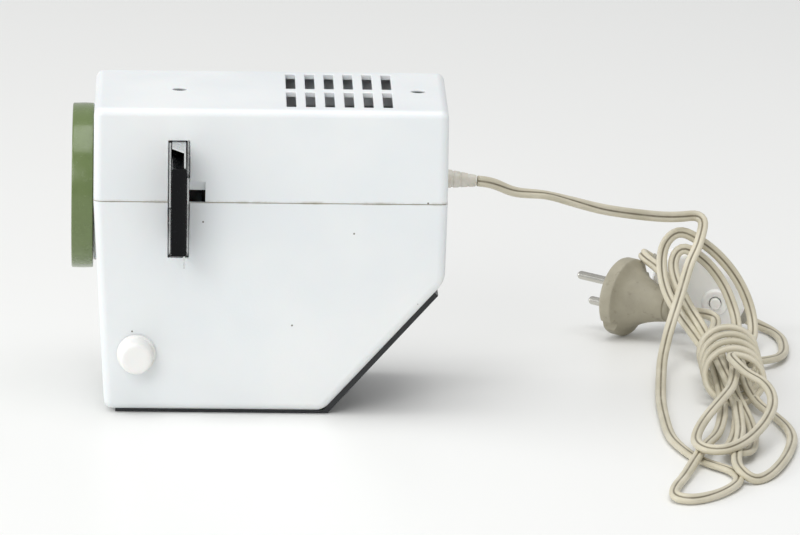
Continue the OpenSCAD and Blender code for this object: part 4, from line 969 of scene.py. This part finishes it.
plug_pvc, tree, shader, where = new_finish("plug_pvc_moulded", 0.48)
tone = add(tree, "TexNoise", {}, {"Vector": where, "Scale": 55.0, "Detail": 5.0, "Roughness": 0.6})
sooty = blended(tree, soft_band(tree, tone.outputs["Fac"], 0.3, 0.7), hex_colour("#9A9482"),
    hex_colour("#ABA592"))
handled = add(tree, "TexNoise", {}, {"Vector": where, "Scale": 320.0, "Detail": 3.0})
sooty = blended(tree, soft_band(tree, handled.outputs["Fac"], 0.6, 0.78, 0.0, 0.45), sooty,
    hex_colour("#6C6656"))
tree.links.new(sooty, shader.inputs["Base Color"])
tree.links.new(soft_band(tree, tone.outputs["Fac"], 0.3, 0.7, 0.4, 0.56), shader.inputs["Roughness"])
bumped(tree, shader, handled.outputs["Fac"], 0.2, 0.0003)

nickel, tree, shader, where = new_finish("nickel_plate_worn", 0.22, 1.0)
drawn = add(tree, "TexNoise", {}, {"Vector": where, "Scale": 60.0, "Detail": 2.0})
painted(tree, shader, drawn.outputs["Fac"], hex_colour("#BDBAB1"), hex_colour("#CFCDC6"))
tree.links.new(soft_band(tree, drawn.outputs["Fac"], 0.3, 0.7, 0.2, 0.28), shader.inputs["Roughness"])


def on_plug(piece):
    piece.data.transform(PLUG_FACE)
    return piece


finish_piece(on_plug(plug), plug_pvc, "projector", "plug_grey", "plug_body", angle=40)
pin_pieces = []
for (pin, collar), nodes in zip(pins, (("plug_pins",), ())):
    finish_piece(on_plug(pin), nickel, "projector", "pin_nickel", *nodes)
    finish_piece(on_plug(collar), plug_pvc, "projector", "plug_grey")
    pin_pieces += [pin, collar]


# ---------- Lens ----------
# Three ground glasses with a faint blue bloom, in a barrel of aluminium that is turned,
# anodised and dyed black. Threaded rings hold the outer two; a spring ring the middle.

def dress(finish, *nodes):
    """Gives CAD nodes a finish in place of their plain one."""
    for name in nodes:
        NODES[name].data.materials.clear()
        NODES[name].data.materials.append(finish)


dyed, tree, shader, where = new_finish("aluminium_anodised_black", 0.38, 0.4)
apart = add(tree, "SeparateXYZ", {}, {"Vector": where})
rings = add(tree, "Math", {"operation": "SINE"}, {
    0: add(tree, "Math", {"operation": "MULTIPLY"},
    {0: apart.outputs["X"], 1: 9000.0}).outputs[0]})   # tool marks 0.7 mm apart
patina = add(tree, "TexNoise", {}, {"Vector": where, "Scale": 180.0, "Detail": 4.0})
painted(tree, shader, patina.outputs["Fac"], hex_colour("#17181A"), hex_colour("#2A2B2E"))
tree.links.new(soft_band(tree, patina.outputs["Fac"], 0.3, 0.7, 0.3, 0.46), shader.inputs["Roughness"])
bumped(tree, shader, rings.outputs[0], 0.25, 0.00008)
dress(dyed, "lens_barrel", "front_retainer", "rear_retainer")


def clear_glass(name, tint_low, tint_high, ior, scale):
    """Polished glass with the faintest unevenness of tint."""
    made, tree, shader, where = new_finish(name, 0.02)
    veil = add(tree, "TexNoise", {}, {"Vector": where, "Scale": scale})
    painted(tree, shader, veil.outputs["Fac"], hex_colour(tint_low), hex_colour(tint_high))
    knob_side_shade = soft_band(tree, veil.outputs["Fac"], 0.45, 0.8, 0.01, 0.06)
    tree.links.new(knob_side_shade, shader.inputs["Roughness"])
    shader.inputs["IOR"].default_value = ior
    shader.inputs["Transmission Weight"].default_value = 1.0
    return made, shader


crown_glass, shader = clear_glass("crown_glass_bloomed", "#E9F2F8", "#F4F8FA", 1.52, 40.0)
shader.inputs["Coat Weight"].default_value = 0.3
shader.inputs["Coat Tint"].default_value = hex_colour("#A9B9F0")
dress(crown_glass, "front_glass", "middle_glass", "rear_glass", "condenser_front", "condenser_rear")


# ---------- Enamelled and plated inner metal ----------
# The lens mount and the condenser's holder are enamelled with the base plate. The
# chassis, clips, screws, foot and its guide are mild steel, pressed and zinc plated.

dress(black_enamel, "base_plate", "lens_mount", "condenser_holder")

zinc, tree, shader, where = new_finish("steel_zinc_plated", 0.34, 1.0)
spangle = add(tree, "TexVoronoi", {"feature": "F1"}, {"Vector": where, "Scale": 500.0})
bloom = add(tree, "TexNoise", {}, {"Vector": where, "Scale": 90.0, "Detail": 5.0, "Roughness": 0.65})
plated = blended(tree, spangle.outputs["Distance"], hex_colour("#A9ADB0"), hex_colour("#BEC1C2"))
plated = blended(tree, soft_band(tree, bloom.outputs["Fac"], 0.55, 0.75, 0.0, 0.6), plated,
    hex_colour("#8B8C89"))
tree.links.new(plated, shader.inputs["Base Color"])
tree.links.new(soft_band(tree, bloom.outputs["Fac"], 0.3, 0.7, 0.28, 0.5), shader.inputs["Roughness"])
bumped(tree, shader, bloom.outputs["Fac"], 0.15, 0.0001)
dress(zinc, "housing_screws", "base_screws", "ring_clip", "focus_key", "slide_springs", "chassis",
    "chassis_screws",
      "condenser_rings", "mirror_bracket", "foot_leg", "foot_guide", "clamp_screw", "switch_spring",
      "switch_screws")


# ---------- Gate, changer carriage and heat shield ----------
# Half-hard aluminium sheet, blanked and folded. Rolling leaves fine lines along it and
# slides have rubbed the carriage brighter in streaks.

rolled, tree, shader, where = new_finish("aluminium_rolled_sheet", 0.3, 1.0)
stretched = add(tree, "Mapping", {}, {"Vector": where, "Scale": (60.0, 9.0, 1400.0)})
lines = add(tree, "TexNoise", {}, {"Vector": stretched.outputs["Vector"], "Scale": 1.0, "Detail": 5.0,
    "Roughness": 0.6})
painted(tree, shader, soft_band(tree, lines.outputs["Fac"], 0.3, 0.7), hex_colour("#C4C7C8"),
    hex_colour("#DCDEDE"))
tree.links.new(soft_band(tree, lines.outputs["Fac"], 0.3, 0.7, 0.22, 0.4), shader.inputs["Roughness"])
bumped(tree, shader, lines.outputs["Fac"], 0.2, 0.00006)
dress(rolled, "gate_frame", "changer_frame", "heat_shield")


# ---------- Lamp, mirror and filter ----------
# A blown glass lamp with a brass cap and a coiled tungsten filament stands in a ceramic
# socket; behind it is a silvered mirror, before it a pale green heat-absorbing glass.

bulb_glass, shader = clear_glass("soda_glass_blown", "#F2F5F4", "#FAFBFA", 1.5, 25.0)
dress(bulb_glass, "lamp_bulb")
filter_glass, shader = clear_glass("heat_glass_ground_edge", "#CDE5D8", "#D9EDE2", 1.52, 60.0)
dress(filter_glass, "heat_filter")

silvered, tree, shader, where = new_finish("glass_silvered", 0.06, 1.0)
haze = add(tree, "TexNoise", {}, {"Vector": where, "Scale": 70.0, "Detail": 4.0})
painted(tree, shader, soft_band(tree, haze.outputs["Fac"], 0.5, 0.75), hex_colour("#E6E8E9"),
    hex_colour("#CFCDC4"))
tree.links.new(soft_band(tree, haze.outputs["Fac"], 0.45, 0.8, 0.04, 0.2), shader.inputs["Roughness"])
dress(silvered, "mirror")

brass, tree, shader, where = new_finish("brass_stamped_dull", 0.32, 1.0)
tarnish = add(tree, "TexNoise", {}, {"Vector": where, "Scale": 160.0, "Detail": 5.0})
painted(tree, shader, soft_band(tree, tarnish.outputs["Fac"], 0.35, 0.7), hex_colour("#C9A560"),
    hex_colour("#8F7440"))
tree.links.new(soft_band(tree, tarnish.outputs["Fac"], 0.3, 0.7, 0.24, 0.5), shader.inputs["Roughness"])
dress(brass, "lamp_cap")

tungsten, tree, shader, where = new_finish("tungsten_drawn_wire", 0.4, 1.0)
burnt = add(tree, "TexNoise", {}, {"Vector": where, "Scale": 900.0})
painted(tree, shader, burnt.outputs["Fac"], hex_colour("#75716C"), hex_colour("#A5A19B"))
dress(tungsten, "lamp_filament")

steatite, tree, shader, where = new_finish("steatite_pressed_unglazed", 0.62)
pores = add(tree, "TexNoise", {}, {"Vector": where, "Scale": 420.0, "Detail": 5.0, "Roughness": 0.7})
painted(tree, shader, soft_band(tree, pores.outputs["Fac"], 0.3, 0.7), hex_colour("#D8D0BE"),
    hex_colour("#EAE5D8"))
bumped(tree, shader, pores.outputs["Fac"], 0.3, 0.0002)
dress(steatite, "lamp_socket")


# ---------- Wiring inside ----------
# Cream moulded terminal block, and two single cores in brown woven glass sleeving that
# stands the lamp's heat. The sleeving's plait is drawn coarser than its 0.3 mm threads.

cream, tree, shader, where = new_finish("terminal_moulding_cream", 0.4)
tone = add(tree, "TexNoise", {}, {"Vector": where, "Scale": 120.0, "Detail": 3.0})
painted(tree, shader, tone.outputs["Fac"], hex_colour("#DAD4C3"), hex_colour("#E8E3D6"))
bumped(tree, shader, tone.outputs["Fac"], 0.12, 0.0002)
dress(cream, "terminal_block")

sleeving, tree, shader, where = new_finish("glass_sleeving_woven", 0.75)
plait = add(tree, "TexWave", {"wave_type": "BANDS", "bands_direction": "DIAGONAL"}, {
    "Vector": where, "Scale": 260.0, "Distortion": 1.5, "Detail": 1.0})
painted(tree, shader, plait.outputs["Fac"], hex_colour("#6D553B"), hex_colour("#94785A"))
bumped(tree, shader, plait.outputs["Fac"], 0.5, 0.0002)
dress(sleeving, "internal_leads")

nitrile, tree, shader, where = new_finish("rubber_moulded_black", 0.8)
chalk = add(tree, "TexNoise", {}, {"Vector": where, "Scale": 260.0, "Detail": 5.0, "Roughness": 0.7})
painted(tree, shader, soft_band(tree, chalk.outputs["Fac"], 0.4, 0.75), hex_colour("#1F1F1F"),
    hex_colour("#383735"))
bumped(tree, shader, chalk.outputs["Fac"], 0.3, 0.0002)
dress(nitrile, "foot_pad")


# ---------- Table and light ----------
# A pale laminate table top without an edge in sight, under a wide soft light overhead
# and a weaker one in front, with the room's own light all round.

bpy.ops.object.select_all(action="DESELECT")
bpy.ops.mesh.primitive_plane_add(size=14, location=(0, 2, -0.0002))
table_top = bpy.context.object
table_top.name = "table_top"
bpy.ops.object.transform_apply()
laminate, tree, shader, where = new_finish("laminate_pale", 0.38)
soft_tone = add(tree, "TexNoise", {}, {"Vector": where, "Scale": 1.5, "Detail": 2.0})
painted(tree, shader, soft_tone.outputs["Fac"], hex_colour("#F0F0EE"), hex_colour("#F4F4F2"))
shader.inputs["Specular IOR Level"].default_value = 0.25
table_top.data.materials.append(laminate)


def soft_light(name, at, aim, size, power, colour="#FFFFFF"):
    lamp = bpy.data.lights.new(name, "AREA")
    lamp.shape = "DISK"
    lamp.size = size
    lamp.energy = power
    lamp.color = hex_colour(colour)[:3]
    holder = bpy.data.objects.new(name, lamp)
    bpy.context.scene.collection.objects.link(holder)
    holder.matrix_world = Matrix.Translation(at) @ (Vector(aim) - Vector(at)).to_track_quat("-Z",
        "Y").to_matrix().to_4x4()


soft_light("overhead_light", (0.1, -0.35, 2.2), (0.05, 0, 0), 1.8, 20)
soft_light("side_light", (-2.4, 0.1, 0.9), (0, 0, 0.05), 1.5, 24)
soft_light("front_light", (-1.1, -2.6, 1.5), (0.05, 0, 0.08), 1.6, 26)
room = bpy.data.worlds.new("room")
room.use_nodes = True
backdrop = room.node_tree.nodes["Background"]
backdrop.inputs["Color"].default_value = hex_colour("#F3F4F5")
backdrop.inputs["Strength"].default_value = 0.62
bpy.context.scene.world = room
bpy.context.scene.view_settings.view_transform = "Standard"
